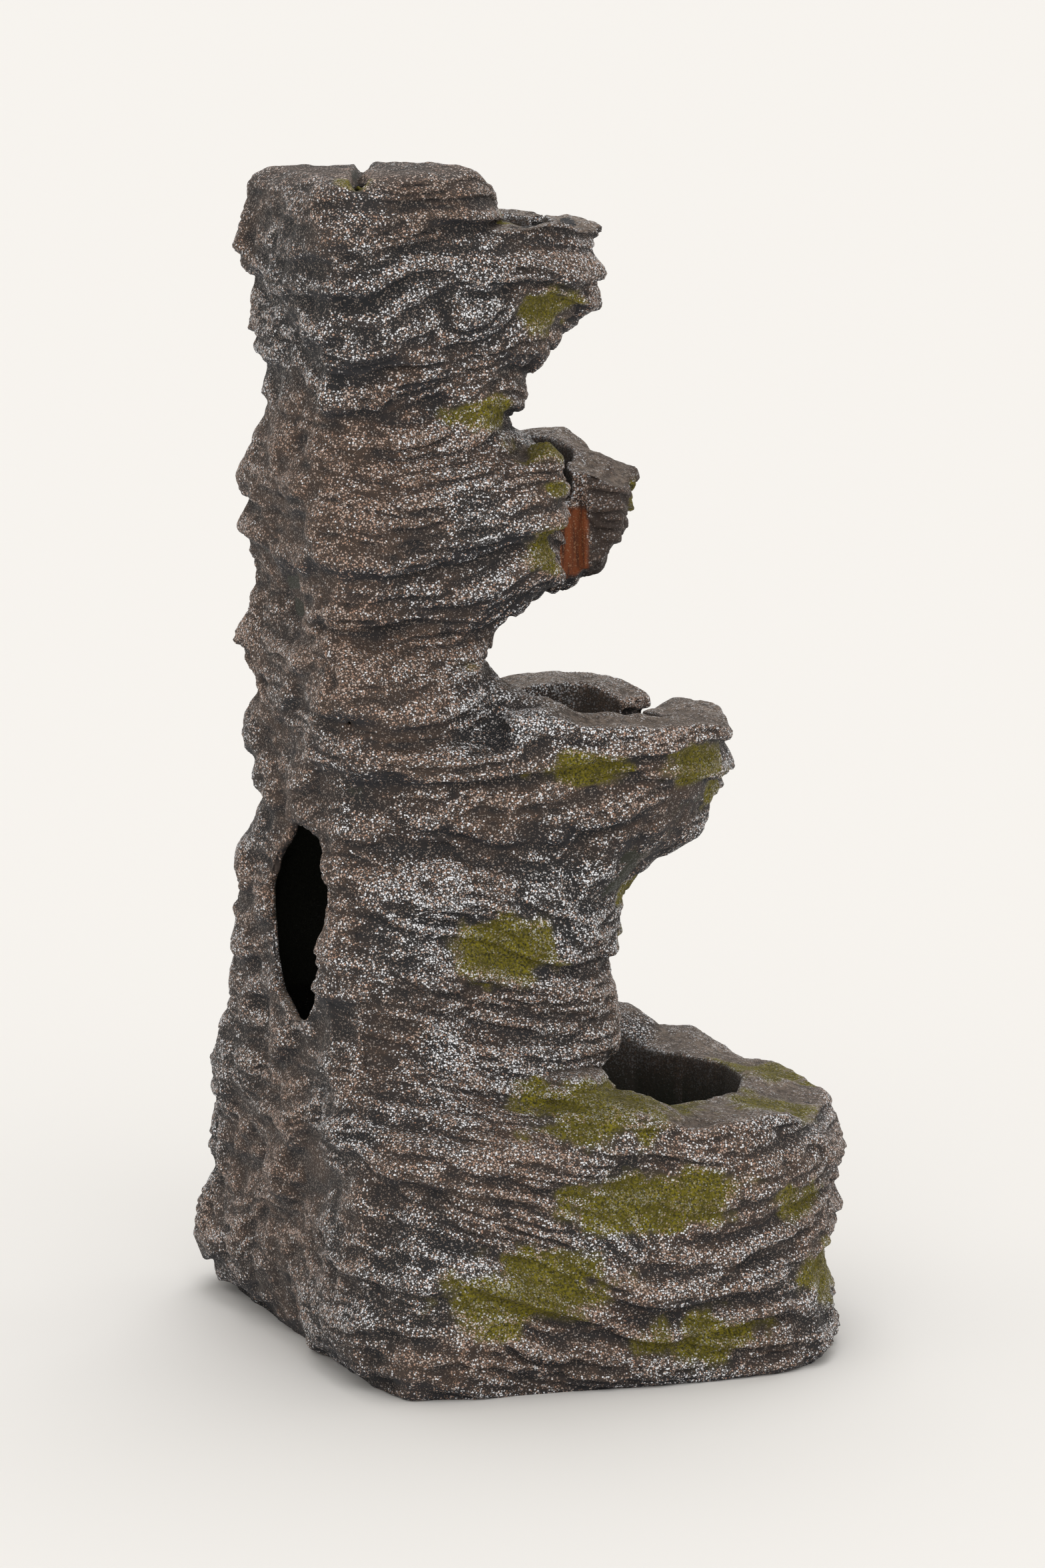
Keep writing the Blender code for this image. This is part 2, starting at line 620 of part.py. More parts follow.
def make_intake():
    """Slotted cage that slides off the front of the pump, with the sponge behind its grille."""
    half_y, half_z = PUMP_SIDE / 2, PUMP_HIGH / 2
    seam, plastic = MOTOR_FRONT - GAP, (0.025, 0.025, 0.028)
    cage = rounded_box("intake_cage", CAGE_FRONT, seam, half_y, half_z, 0.0045, plastic)
    wide, high = half_y - CAGE_WALL, half_z - CAGE_WALL
    inside = pump_box("cage_inside", CAGE_FRONT + CAGE_WALL, MOTOR_FRONT + THROUGH, wide, high)
    combine(cage, add_object("cage_inside", inside))
    side = NOZZLE_R + 0.001
    gate_low = pump_point(NOZZLE_X - side, -side, 0.015)
    gate = box("nozzle_gate", gate_low, pump_point(MOTOR_FRONT + THROUGH, side, 0.05))
    combine(cage, add_object("nozzle_gate", gate))
    middle = CAGE_SLOTS // 2
    for row in [index for index in range(CAGE_SLOTS) if index != middle]:
        z = (row - middle) * SLOT_PITCH
        for side in (-1, 1):
            y = side * SLOT_PLACE
            low = pump_point(CAGE_FRONT - THROUGH, y - SLOT_WIDE / 2, z - SLOT_HIGH / 2)
            high = pump_point(CAGE_FRONT + THROUGH / 2, y + SLOT_WIDE / 2, z + SLOT_HIGH / 2)
            slot = box(f"slot_{side}_{row}", low, high)
            combine(cage, add_object(f"slot_{side}_{row}", slot))
    start, end = pump_point(CAGE_FRONT - THROUGH), pump_point(CAGE_FRONT + THROUGH / 2)
    stem_hole = rod("stem_hole", start, end, DIAL_STEM_R + 0.0002)
    combine(cage, add_object("stem_hole", stem_hole))
    front, back = CAGE_FRONT + CAGE_WALL + 0.003, VOLUTE_FRONT - 0.0015
    sponge = pump_box("filter_sponge", front, back, wide - GAP, half_z - CAGE_WALL - GAP)
    add_object("filter_sponge", sponge, (0.02, 0.03, 0.05), 0.95)


def make_dial():
    """Flow dial on the cage's face, with a finger bar across it."""
    front = CAGE_FRONT - GAP - DIAL_THICK
    stem = DIAL_THICK + GAP + CAGE_WALL + 0.0018
    profile = [
        (0.0, stem), (DIAL_STEM_R, stem), (DIAL_STEM_R, DIAL_THICK), (DIAL_R, DIAL_THICK),
        (DIAL_R, 0.0), (0.0, 0.0),
    ]
    dial = turned("flow_dial", profile, pump_point(front), (1, 0, 0), 28, (0.05, 0.05, 0.055), 0.4)
    low, high = pump_point(front - 0.003, -0.0012, -0.009), pump_point(front + 0.001, 0.0012, 0.009)
    bar = box("finger_bar", low, high)
    combine(dial, add_object("finger_bar", bar), "UNION")


def make_gland():
    """Cable gland in the back of the motor block. Its bore is blind."""
    start = MOTOR_BACK - GLAND_SOCKET + GAP
    profile = [
        (GLAND_R - 0.001, GLAND_LONG), (GLAND_R, GLAND_LONG / 2), (GLAND_R, 0.0), (0.0, 0.0),
        (0.0, 0.006), (GLAND_BORE, 0.006), (GLAND_BORE, GLAND_LONG),
    ]
    place = pump_point(start, 0, GLAND_HIGH)
    turned("cable_gland", profile, place, (1, 0, 0), 20, (0.03, 0.03, 0.03), 0.6)


# ---------------------------------------------------------------- hose and fittings


def smooth_run(points, count):
    """Points evenly spread along a Catmull-Rom curve through the given points."""
    ends = [2 * points[0] - points[1], *points, 2 * points[-1] - points[-2]]
    run = []
    for i in range(count):
        place = i / (count - 1) * (len(points) - 1)
        k = min(int(place), len(points) - 2)
        t = place - k
        a, b, c, d = ends[k:k + 4]
        run.append(0.5 * (2 * b + (c - a) * t + (2 * a - 5 * b + 4 * c - d) * t ** 2
                          + (3 * b - a - 3 * c + d) * t ** 3))
    return run


def pipe(name, points, radius, bore, sides, colour, roughness):
    """Open-ended pipe along a run of points: a swept skin given its wall inwards."""
    curve = bpy.data.curves.new(name, "CURVE")
    curve.dimensions = "3D"
    curve.bevel_depth = radius
    curve.bevel_resolution = sides // 2 - 2
    curve.use_fill_caps = False
    spline = curve.splines.new("POLY")
    spline.points.add(len(points) - 1)
    for slot, point in zip(spline.points, points):
        slot.co = (*point, 1.0)
    swept = bpy.data.objects.new(name, curve)
    PARTS.objects.link(swept)
    graph = bpy.context.evaluated_depsgraph_get()
    mesh = bpy.data.meshes.new_from_object(swept.evaluated_get(graph))
    bpy.data.objects.remove(swept)
    made = add_object(name, mesh, colour, roughness)
    wall = made.modifiers.new("wall", "SOLIDIFY")
    wall.thickness = radius - bore
    wall.offset = -1.0
    return made


def make_hose():
    """Riser hose from the pump's nozzle, up behind the pools, to the spout in the crown."""
    nozzle = pump_point(NOZZLE_X)
    low = PUMP.z + 0.030
    route = [
        Vector((nozzle.x, nozzle.y, low)),
        Vector((nozzle.x, nozzle.y, low + 0.014)),
        Vector((nozzle.x, nozzle.y, low + 0.032)),
        Vector((nozzle.x, nozzle.y + 0.004, low + 0.065)),
        Vector((RISER.x - 0.002, RISER.y - 0.012, low + 0.13)),
        Vector((RISER.x, RISER.y, low + 0.20)),
    ]
    bend = smooth_run(route, 16)
    start = bend[-1].z
    straight = [Vector((*RISER, start + (HOSE_TOP - start) * i / 10)) for i in range(1, 11)]
    pipe("riser_hose", bend + straight, HOSE_R, HOSE_BORE, 12, (0.05, 0.055, 0.05), 0.5)


def make_spout():
    """Elbow pushed into the hose's top end, which turns the water out through the crown's front."""
    bend_r = 0.0125
    riser = Vector((*RISER, SPOUT_Z - bend_r))
    turn = [
        riser + Vector((0, bend_r * (math.cos(a) - 1), bend_r * math.sin(a)))
        for a in [math.pi / 2 * i / 5 for i in range(6)]
    ]
    points = [Vector((*RISER, HOSE_TOP - 0.014)), *turn, Vector((RISER.x, SPOUT_FRONT, SPOUT_Z))]
    pipe("spout_elbow", points, SPOUT_R, SPOUT_BORE, 12, (0.03, 0.03, 0.03), 0.4)
    outer, inner = SPOUT_HOLE_R - GAP, SPOUT_R + GAP
    ring = [(outer, SPOUT_SEAL), (outer, 0.0), (inner, 0.0), (inner, SPOUT_SEAL)]
    place = (RISER.x, SPOUT_FRONT + 0.006, SPOUT_Z)
    turned("spout_grommet", ring, place, (0, 1, 0), 24, (0.04, 0.04, 0.04), 0.8)


def make_clamps():
    """Band clamps that hold the hose on the pump's nozzle and on the spout."""
    places = {
        "hose_clamp_lower": (PUMP.x + NOZZLE_X, PUMP.y, PUMP.z + 0.040),
        "hose_clamp_upper": (RISER.x, RISER.y, HOSE_TOP - 0.0015 - CLAMP_WIDE),
    }
    inner, outer = HOSE_R + GAP, HOSE_R + GAP + CLAMP_THICK
    for name, place in places.items():
        ring = [(outer, CLAMP_WIDE), (outer, 0.0), (inner, 0.0), (inner, CLAMP_WIDE)]
        clamp = turned(name, ring, place, (0, 0, 1), 24, (0.6, 0.6, 0.62), 0.3, 1.0)
        x, y, z = place
        low = (x - 0.005, y - outer - 0.005, z + 0.0005)
        high = (x + 0.005, y - outer + 0.0007, z + CLAMP_WIDE - 0.0005)
        housing = box(f"{name}_screw", low, high)
        combine(clamp, add_object(f"{name}_screw", housing), "UNION")


def make_grommets():
    """Rubber grommets that centre the hose in the duct through each deck."""
    for index, deck in enumerate((MIDDLE_TOP, UPPER_TOP, TOP_TOP), 1):
        bore, neck, rim = HOSE_R + GAP, DUCT_R - GAP, DUCT_R + GROMMET_LIP
        under = deck - DECK - GAP
        high = DECK + GAP - 0.0005
        low = -GROMMET_LIP
        profile = [(neck, high), (neck, 0.0), (rim, 0.0), (rim, low), (bore, low), (bore, high)]
        turned(f"hose_grommet_{index}", profile, (*RISER, under), (0, 0, 1), 18, (0.04, 0.04, 0.04), 0.8)


def shade_parts():
    for obj in PARTS.objects:
        obj.data.shade_smooth()
        obj.data.set_sharp_from_angle(angle=math.radians(40))


make_base()
make_tier("middle_tier", MIDDLE, MIDDLE_POOL, MIDDLE_SPILL)
make_tier("upper_tier", UPPER, UPPER_POOL, UPPER_SPILL, faced=True)
make_tier("top_tier", TOP, TOP_POOL, TOP_SPILL)
make_crown()
make_back_panel()
make_motor()
make_feet()
make_rotor()
make_impeller_cover()
make_seal()
make_intake()
make_dial()
make_gland()
make_hose()
make_spout()
make_clamps()
make_grommets()
shade_parts()
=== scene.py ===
"""Looks for the four-bowl rock water feature: sculpted rock over the CAD tiers, moss, rust and grain,
finished pump, hose and fittings, a pale floor and soft light. Metres, +Z up, bowls toward -Y."""

import math

import bmesh
import bpy
import numpy as np
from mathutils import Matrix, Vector
from mathutils.kdtree import KDTree


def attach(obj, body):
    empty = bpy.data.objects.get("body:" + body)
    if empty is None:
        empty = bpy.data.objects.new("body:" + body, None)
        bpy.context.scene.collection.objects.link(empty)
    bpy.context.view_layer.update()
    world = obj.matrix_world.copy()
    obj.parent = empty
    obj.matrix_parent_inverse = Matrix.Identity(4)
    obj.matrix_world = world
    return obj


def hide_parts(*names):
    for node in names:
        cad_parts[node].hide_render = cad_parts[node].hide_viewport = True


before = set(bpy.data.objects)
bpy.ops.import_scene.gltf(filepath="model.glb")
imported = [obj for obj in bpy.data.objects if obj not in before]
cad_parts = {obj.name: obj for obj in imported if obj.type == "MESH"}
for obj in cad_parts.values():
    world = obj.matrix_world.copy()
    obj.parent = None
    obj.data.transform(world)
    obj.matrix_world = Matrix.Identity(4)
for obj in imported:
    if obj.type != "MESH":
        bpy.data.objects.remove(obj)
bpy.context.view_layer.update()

# ---------------------------------------------------------------- driving dimensions

VOXEL = 0.0026  # size of the fused skin's faces
OVERHANG = 0.55  # how far a ridge's crest sags, as a share of how far it stands out
MOST_MOVE = (-0.0075, 0.0095)  # limits of the relief, inward and outward
TOP_WAVER = 0.0012  # unevenness of the flat tops
GROUND_FADE = 0.018  # height over which the skin is free to move up and down
SLOPE_ROUNDS = 110  # smoothing that forms the slopes behind the bowls
NEAR_ROUNDS, WIDE_ROUNDS = 8, 40  # smoothing that bulges and swells are measured against
# Sizes of a bulge and of a swell that change a mask by 1
RIDGE_BULGE, RIDGE_SWELL = 0.0022, 0.0050
CREASE_BULGE, CREASE_SWELL = 0.0016, 0.0042
OVERLAP = 0.0004  # growth that closes the gaps between the cast sections before they are fused
RIMS = (0.205, 0.510, 0.735, 0.925)  # heights of the bowls' rims
COLUMN_MIDDLE = (0.0, 0.10)  # x and y
CROWN_TOP = (0.955, 0.965)  # heights between which the worn look of the flat tops ends
PANEL_FRONT = 0.212  # plane between the tiers and the back panel
ROCK_BODY = "housing"
MOST_TRIANGLES = 192000  # in one piece of rock

# ---------------------------------------------------------------- noise


def lattice(ix, iy, iz, seed):
    """A repeatable value from -1 to 1 at each whole-number point."""
    h = (
        ix.astype(np.uint32) * np.uint32(374761393)
        + iy.astype(np.uint32) * np.uint32(668265263)
        + iz.astype(np.uint32) * np.uint32(2246822519)
        + np.uint32(seed * 1274126177 & 0xFFFFFFFF)
    )
    h = (h ^ (h >> np.uint32(13))) * np.uint32(1274126177)
    h = (h ^ (h >> np.uint32(16))) * np.uint32(2654435761)
    h = h ^ (h >> np.uint32(15))
    return h.astype(np.float64) / 2147483647.5 - 1.0


def noise(p, size, seed):
    """Smooth noise, about -1 to 1, with cells of the given size along x, y and z."""
    q = p / np.asarray(size) + 1000.0  # every cell counts from above zero
    cell = np.floor(q).astype(np.int64)
    t = q - cell
    t = t * t * t * (t * (t * 6 - 15) + 10)
    total = np.zeros(len(p))
    for dx in (0, 1):
        wx = t[:, 0] if dx else 1 - t[:, 0]
        for dy in (0, 1):
            wy = t[:, 1] if dy else 1 - t[:, 1]
            for dz in (0, 1):
                wz = t[:, 2] if dz else 1 - t[:, 2]
                corner = lattice(cell[:, 0] + dx, cell[:, 1] + dy, cell[:, 2] + dz, seed)
                total += wx * wy * wz * corner
    return total * 1.35


def fbm(p, size, seed, octaves):
    """Noise summed over octaves, each half the size and the strength of the last."""
    total = np.zeros(len(p))
    amplitude, size = 1.0, np.asarray(size, float) * np.ones(3)
    for k in range(octaves):
        total += amplitude * noise(p, size, seed + 31 * k)
        amplitude, size = amplitude * 0.5, size * 0.5
    return total


def step(low, high, value):
    """0 at low, 1 at high, and an eased slope between them; low may be the larger."""
    t = np.clip((value - low) / (high - low), 0, 1)
    return t * t * (3 - 2 * t)


def band(start, full, fading, end, value):
    """1 from full to fading, with eased slopes down to 0 at start and at end."""
    return step(start, full, value) * step(end, fading, value)


# ---------------------------------------------------------------- meshes


def arrays_of(mesh):
    points = np.empty(len(mesh.vertices) * 3)
    mesh.vertices.foreach_get("co", points)
    return points.reshape(-1, 3)


def normals_of(mesh):
    found = np.empty(len(mesh.vertices) * 3)
    mesh.vertex_normals.foreach_get("vector", found)
    return found.reshape(-1, 3)


def edges_of(mesh):
    found = np.empty(len(mesh.edges) * 2, np.int32)
    mesh.edges.foreach_get("vertices", found)
    return found.reshape(-1, 2)


def set_points(mesh, points):
    mesh.vertices.foreach_set("co", points.astype(np.float32).ravel())
    mesh.update()


def smoothed(values, edges, rounds):
    """Each value averaged with its neighbours', over and over."""
    count = np.bincount(edges.ravel(), minlength=len(values)).astype(float)
    count = np.maximum(count, 1)
    flat = values.ndim == 1
    values = values[:, None] if flat else values
    for _ in range(rounds):
        total = np.zeros_like(values)
        for k in range(values.shape[1]):
            total[:, k] = np.bincount(edges[:, 0], values[edges[:, 1], k], len(values))
            total[:, k] += np.bincount(edges[:, 1], values[edges[:, 0], k], len(values))
        values = 0.5 * values + 0.5 * total / count[:, None]
    return values[:, 0] if flat else values


def add_object(name, mesh):
    made = bpy.data.objects.new(name, mesh)
    bpy.context.scene.collection.objects.link(made)
    return made


def apply_modifiers(obj):
    graph = bpy.context.evaluated_depsgraph_get()
    mesh = bpy.data.meshes.new_from_object(obj.evaluated_get(graph))
    obj.modifiers.clear()
    obj.data = mesh
    return obj


def box_object(name, low, high):
    bm = bmesh.new()
    bmesh.ops.create_cube(bm, size=1)
    for vert in bm.verts:
        vert.co = Vector([a + (b - a) * (c + 0.5) for a, b, c in zip(low, high, vert.co)])
    mesh = bpy.data.meshes.new(name)
    bm.to_mesh(mesh)
    bm.free()
    return add_object(name, mesh)


# ---------------------------------------------------------------- the fused rock

ROCK_NODES = ("base_basin", "middle_tier", "upper_tier", "top_tier", "crown_cap", "back_panel")


def fused_rock():
    """One closed skin over all the cast sections."""
    bm = bmesh.new()
    for name in ROCK_NODES:
        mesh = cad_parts[name].data.copy()
        weld = bmesh.new()
        weld.from_mesh(mesh)
        bmesh.ops.remove_doubles(weld, verts=weld.verts, dist=1e-6)
        weld.to_mesh(mesh)
        weld.free()
        set_points(mesh, arrays_of(mesh) + OVERLAP * normals_of(mesh))
        bm.from_mesh(mesh)
        bpy.data.meshes.remove(mesh)
    mesh = bpy.data.meshes.new("fused")
    bm.to_mesh(mesh)
    bm.free()
    obj = add_object("fused", mesh)
    remesh = obj.modifiers.new("skin", "REMESH")
    remesh.mode = "VOXEL"
    remesh.voxel_size = VOXEL
    remesh.adaptivity = 0
    return apply_modifiers(obj)


# Height changes of the bowls' rims: rim height, how far down they reach, where along y they stop, then
# bumps (middle x, middle y, half length along x and y, rise)
BASE_BUMPS = (
    (0.21, -0.06, 0.10, 0.08, 0.022),
    (0.16, -0.17, 0.09, 0.05, 0.002),
    (0.02, -0.22, 0.12, 0.05, -0.009),
    (-0.16, -0.20, 0.09, 0.07, -0.014),
    (-0.19, 0.015, 0.06, 0.055, 0.020),
)
MIDDLE_BUMPS = (
    (0.12, -0.05, 0.09, 0.075, 0.016),
    (0.00, -0.140, 0.090, 0.035, 0.005),
    (-0.135, -0.010, 0.045, 0.120, 0.012),
    (-0.100, -0.010, 0.026, 0.090, 0.006),
    (-0.110, 0.060, 0.060, 0.040, 0.016),
)
UPPER_BUMPS = (
    (0.10, -0.02, 0.07, 0.05, 0.007),
    (0.03, -0.06, 0.045, 0.03, -0.009),
    (-0.045, -0.035, 0.048, 0.052, -0.016),
    (-0.09, 0.045, 0.04, 0.022, 0.012),
)
TOP_BUMPS = ((0.05, 0.00, 0.05, 0.04, 0.004), (-0.04, -0.02, 0.06, 0.03, -0.006))
RIM_WAVER = 0.0030  # unevenness of every rim
HIGHEST_BUMP = 0.022  # the most that a rim is raised
RIM_LIFTS = (
    (RIMS[0], 0.045, 0.080, BASE_BUMPS),
    (RIMS[1], 0.055, 0.095, MIDDLE_BUMPS),
    (RIMS[2], 0.040, 0.055, UPPER_BUMPS),
    (RIMS[3], 0.030, 0.045, TOP_BUMPS),
)


def lift_rims(points):
    """Raises and lowers parts of each bowl's rim, fading out down the wall and toward the column."""
    x, y, z = points.T
    total = np.zeros(len(points))
    for rim, reach, back, bumps in RIM_LIFTS:
        rise = RIM_WAVER * noise(np.c_[x, y, np.zeros_like(x)], (0.045, 0.045, 1), 61)
        for px, py, wide, deep, amount in bumps:
            d = np.sqrt(((x - px) / wide) ** 2 + ((y - py) / deep) ** 2)
            rise += amount * step(1.3, 0.45, d)
        fade = band(rim - reach, rim, rim + 0.01, rim + reach, z)
        total += rise * fade * step(back, back - 0.02, y)
    moved = points.copy()
    moved[:, 2] += total
    return moved


# Single knobs, hollows and ledges: x, y, z, then the reach and the move along each axis
KNOBS = (
    ((-0.085, 0.020, 0.711), (0.050, 0.030, 0.012), (-0.003, -0.009, 0.000)),
    ((-0.090, 0.025, 0.668), (0.060, 0.035, 0.026), (0.003, 0.009, 0.000)),
    ((-0.060, -0.020, 0.880), (0.070, 0.030, 0.010), (0.002, 0.008, 0.000)),
    ((-0.060, -0.010, 0.858), (0.070, 0.035, 0.014), (-0.001, -0.006, 0.000)),
    ((-0.050, 0.090, 0.960), (0.080, 0.040, 0.022), (0.000, -0.005, 0.006)),
    ((0.000, -0.045, 0.914), (0.090, 0.035, 0.016), (0.000, -0.013, 0.003)),
    ((0.000, -0.050, 0.886), (0.090, 0.035, 0.010), (0.000, 0.008, 0.000)),
    ((-0.020, -0.010, 0.833), (0.090, 0.040, 0.014), (0.000, -0.009, 0.000)),
    ((0.000, 0.190, 0.974), (0.500, 0.110, 0.026), (0.000, 0.000, -0.006)),
    ((0.000, 0.062, 0.974), (0.400, 0.042, 0.024), (0.000, 0.000, -0.012)),
    ((0.000, 0.035, 0.582), (0.400, 0.070, 0.030), (0.000, 0.015, 0.000)),
    ((0.030, -0.075, 0.705), (0.100, 0.030, 0.016), (0.000, 0.010, 0.000)),
    ((0.020, -0.045, 0.634), (0.120, 0.035, 0.016), (0.000, 0.014, 0.004)),
    ((0.050, 0.240, 0.600), (0.200, 0.040, 0.026), (0.000, -0.008, 0.000)),
    ((0.203, 0.240, 0.176), (0.045, 0.045, 0.018), (-0.006, -0.011, 0.000)),
    ((0.150, -0.125, 0.210), (0.055, 0.034, 0.034), (0.000, 0.000, 0.018)),
    ((0.160, -0.150, 0.205), (0.100, 0.070, 0.030), (0.000, 0.000, 0.005)),
)


def press_knobs(points):
    """Moves the skin around each knob."""
    moved = points.copy()
    for place, reach, move in KNOBS:
        d = np.sqrt((((points - place) / reach) ** 2).sum(1))
        moved += step(1.0, 0.2, d)[:, None] * np.array(move)
    return moved


# Concave corners over the bowls' rims that run on as one slope behind the bowl: height of the rim,
# where along y the slope starts, and where it has fully formed
SLOPES = (
    (RIMS[0], -0.010, 0.040),
    (RIMS[1], 0.020, 0.060),
    (RIMS[2], 0.035, 0.070),
    (RIMS[3], 0.060, 0.095),
)
SLOPE_BAND = (-0.085, -0.012, 0.022, 0.060)  # heights from the rim between which a slope forms


def slope_share(points):
    """How much each point takes part in the slopes that carry the wall past the rims."""
    y, z = points[:, 1], points[:, 2]
    share = np.zeros(len(points))
    for rim, start, formed in SLOPES:
        near = band(*(rim + limit for limit in SLOPE_BAND), z)
        share = np.maximum(share, near * step(start, formed, y))
    return share


# Undersides of the bowls, where the beds turn up toward the front: height, half thickness, amount
UNDERSIDES = ((0.43, 0.05, 1.0), (0.66, 0.04, 0.5), (0.84, 0.04, 0.2))
DIP, DIP_REACH = -0.42, 0.14  # slope of the lowest beds at the back, and how far it carries
LIFT = 0.16  # how steeply the beds turn up under a bowl
ROLL, ROLL_WAVES = 0.010, (9.0, -13.0, 4.0)  # slow waves of the beds: height, and radians per metre


def bedding(points):
    """Each point with its height measured from the bed that it lies on."""
    x, y, z = points.T
    front = -y
    low = step(0.50, 0.36, z)
    dip = DIP * low * (DIP_REACH - DIP_REACH * np.exp(-(front + 0.24) / DIP_REACH))
    under = sum(amount * np.exp(-(((z - height) / thick) ** 2)) for height, thick, amount in UNDERSIDES)
    dip += LIFT * under * np.maximum(front + 0.03, 0) ** 1.3
    dip += ROLL * np.sin(points @ ROLL_WAVES)
    warp = 0.0120 * noise(points, (0.14, 0.14, 0.09), 11)
    warp += 0.0042 * noise(points, (0.050, 0.050, 0.035), 12)
    return np.c_[x, y, z - dip + warp]


def crest(values, sharp):
    """Rounded crests with narrow valleys, mean about zero."""
    return 1.0 - (1.0 - np.abs(values)) ** sharp - 0.45


def outer_share(points, normals, low=-0.35, high=0.05):
    """1 on the skin that faces outward, 0 on walls that face the middle."""
    outward = points[:, :2] - COLUMN_MIDDLE
    outward /= np.linalg.norm(outward, axis=1)[:, None] + 1e-9
    return step(low, high, (normals[:, :2] * outward).sum(1))


def relief(points):
    """How far the beds, lumps and knobs stand out; the back is lumpier and less bedded."""
    bed = bedding(points)
    broad = noise(bed, (0.130, 0.130, 0.0280), 20)
    coarse = noise(bed, (0.095, 0.095, 0.0140), 21)
    middle = noise(bed, (0.050, 0.050, 0.0078), 22)
    fine = fbm(bed, (0.014, 0.014, 0.0050), 23, 2)
    lumps = noise(points, (0.048, 0.048, 0.036), 24)
    knobs = noise(points, (0.022, 0.022, 0.016), 25)
    rear = step(0.12, 0.21, points[:, 1])
    ridge = 0.0036 * broad
    ridge += (0.0052 - 0.0016 * rear) * coarse
    ridge += (0.0041 - 0.0015 * rear) * crest(np.clip(middle, -1, 1), 1.5)
    ridge += (0.0012 - 0.0004 * rear) * fine
    ridge += (0.0030 + 0.0016 * rear) * lumps
    ridge += (0.0012 + 0.0018 * rear) * knobs
    return np.clip(ridge, *MOST_MOVE)


def shape_outline(mesh, edges):
    """Smooths the slopes behind the bowls, shapes the rims, and presses the knobs into the skin."""
    points = smoothed(arrays_of(mesh), edges, 2)
    set_points(mesh, points)
    outer = outer_share(points, normals_of(mesh))
    sloped = smoothed(points, edges, SLOPE_ROUNDS)
    share = (slope_share(points) * outer)[:, None]
    points = press_knobs(lift_rims(points + (sloped - points) * share))
    set_points(mesh, points)
    return points


def sculpt(obj):
    """Moves the outer skin into beds, lumps and crevices; returns the masks that the paint uses."""
    mesh = obj.data
    edges = edges_of(mesh)
    points = shape_outline(mesh, edges)
    normals = smoothed(normals_of(mesh), edges, 3)
    normals /= np.linalg.norm(normals, axis=1)[:, None] + 1e-9
    outer = outer_share(points, normals)
    flat_top = step(0.70, 0.92, normals[:, 2]) * (1 - slope_share(points))
    z = points[:, 2].copy()

    wall = outer * (1 - 0.9 * flat_top) * (1 - rust_share(points))
    move = relief(points) * wall
    points = points + normals * move[:, None]
    points[:, 2] -= OVERHANG * move
    points[:, 2] += TOP_WAVER * flat_top * fbm(points, 0.014, 27, 3)
    points[:, 2] = z + (points[:, 2] - z) * step(0.0, GROUND_FADE, z)
    set_points(mesh, points)

    normals = normals_of(mesh)
    broad_normals = smoothed(normals, edges, NEAR_ROUNDS)
    bulge = ((points - smoothed(points, edges, NEAR_ROUNDS)) * normals).sum(1)
    swell = ((points - smoothed(points, edges, WIDE_ROUNDS)) * normals).sum(1)
    return {
        "ridge": np.clip(0.5 + bulge / RIDGE_BULGE + swell / RIDGE_SWELL, 0, 1),
        "crease": np.clip(-bulge / CREASE_BULGE - swell / CREASE_SWELL, 0, 1),
        "inner": (1 - outer) * (1 - outer_share(points, broad_normals, -0.80, -0.50)),
        "top": flat_top * (1 - step(*CROWN_TOP, z)),
        "up": np.clip(broad_normals[:, 2], -1, 1),
    }


def blobs(points, places):
    """Soft patches: each place is x, y, z and the radius across and the radius up."""
    total = np.zeros(len(points))
    for px, py, pz, wide, high in places:
        d = (points - (px, py, pz)) / (wide, wide, high)
        total = np.maximum(total, 1.25 - np.sqrt((d * d).sum(1)))
    return np.clip(total, 0, 1)


# Moss patches: x, y, z, reach along the wall, reach up and down
MOSS = (
    (-0.10, 0.200, 0.968, 0.020, 0.012),
    (-0.04, 0.060, 0.930, 0.030, 0.008),
    (-0.09, 0.028, 0.856, 0.034, 0.022),
    (-0.11, 0.070, 0.774, 0.050, 0.015),
    (-0.10, 0.040, 0.752, 0.034, 0.018),
    (-0.11, 0.030, 0.713, 0.020, 0.009),
    (-0.11, 0.030, 0.668, 0.034, 0.022),
    (-0.02, -0.070, 0.700, 0.016, 0.018),
    (-0.13, 0.092, 0.573, 0.026, 0.010),
    (-0.155, 0.020, 0.489, 0.045, 0.016),
    (-0.13, -0.080, 0.485, 0.045, 0.018),
    (-0.09, -0.115, 0.462, 0.022, 0.020),
    (-0.15, 0.085, 0.345, 0.052, 0.030),
    (-0.08, -0.045, 0.370, 0.030, 0.014),
    (-0.08, -0.045, 0.330, 0.030, 0.014),
    (-0.20, 0.035, 0.215, 0.070, 0.030),
    (-0.14, -0.030, 0.212, 0.072, 0.028),
    (-0.15, -0.150, 0.205, 0.055, 0.022),
    (-0.02, -0.200, 0.208, 0.060, 0.022),
    (-0.25, 0.000, 0.150, 0.088, 0.024),
    (-0.20, -0.135, 0.135, 0.040, 0.020),
    (-0.18, -0.160, 0.070, 0.060, 0.028),
    (-0.26, 0.110, 0.085, 0.080, 0.032),
    (-0.24, -0.040, 0.038, 0.060, 0.026),
)


# The channel under the second bowl's notch, whose back is stained with rust
CHANNEL_START = (-0.037, 0.003)  # x and y of its inner end
CHANNEL_FACING = 162  # degrees from +X
CHANNEL_WIDTH = 0.0235
RUST_FOOT, RUST_LIP = 0.600, 0.688  # heights of the stain's lower and upper end
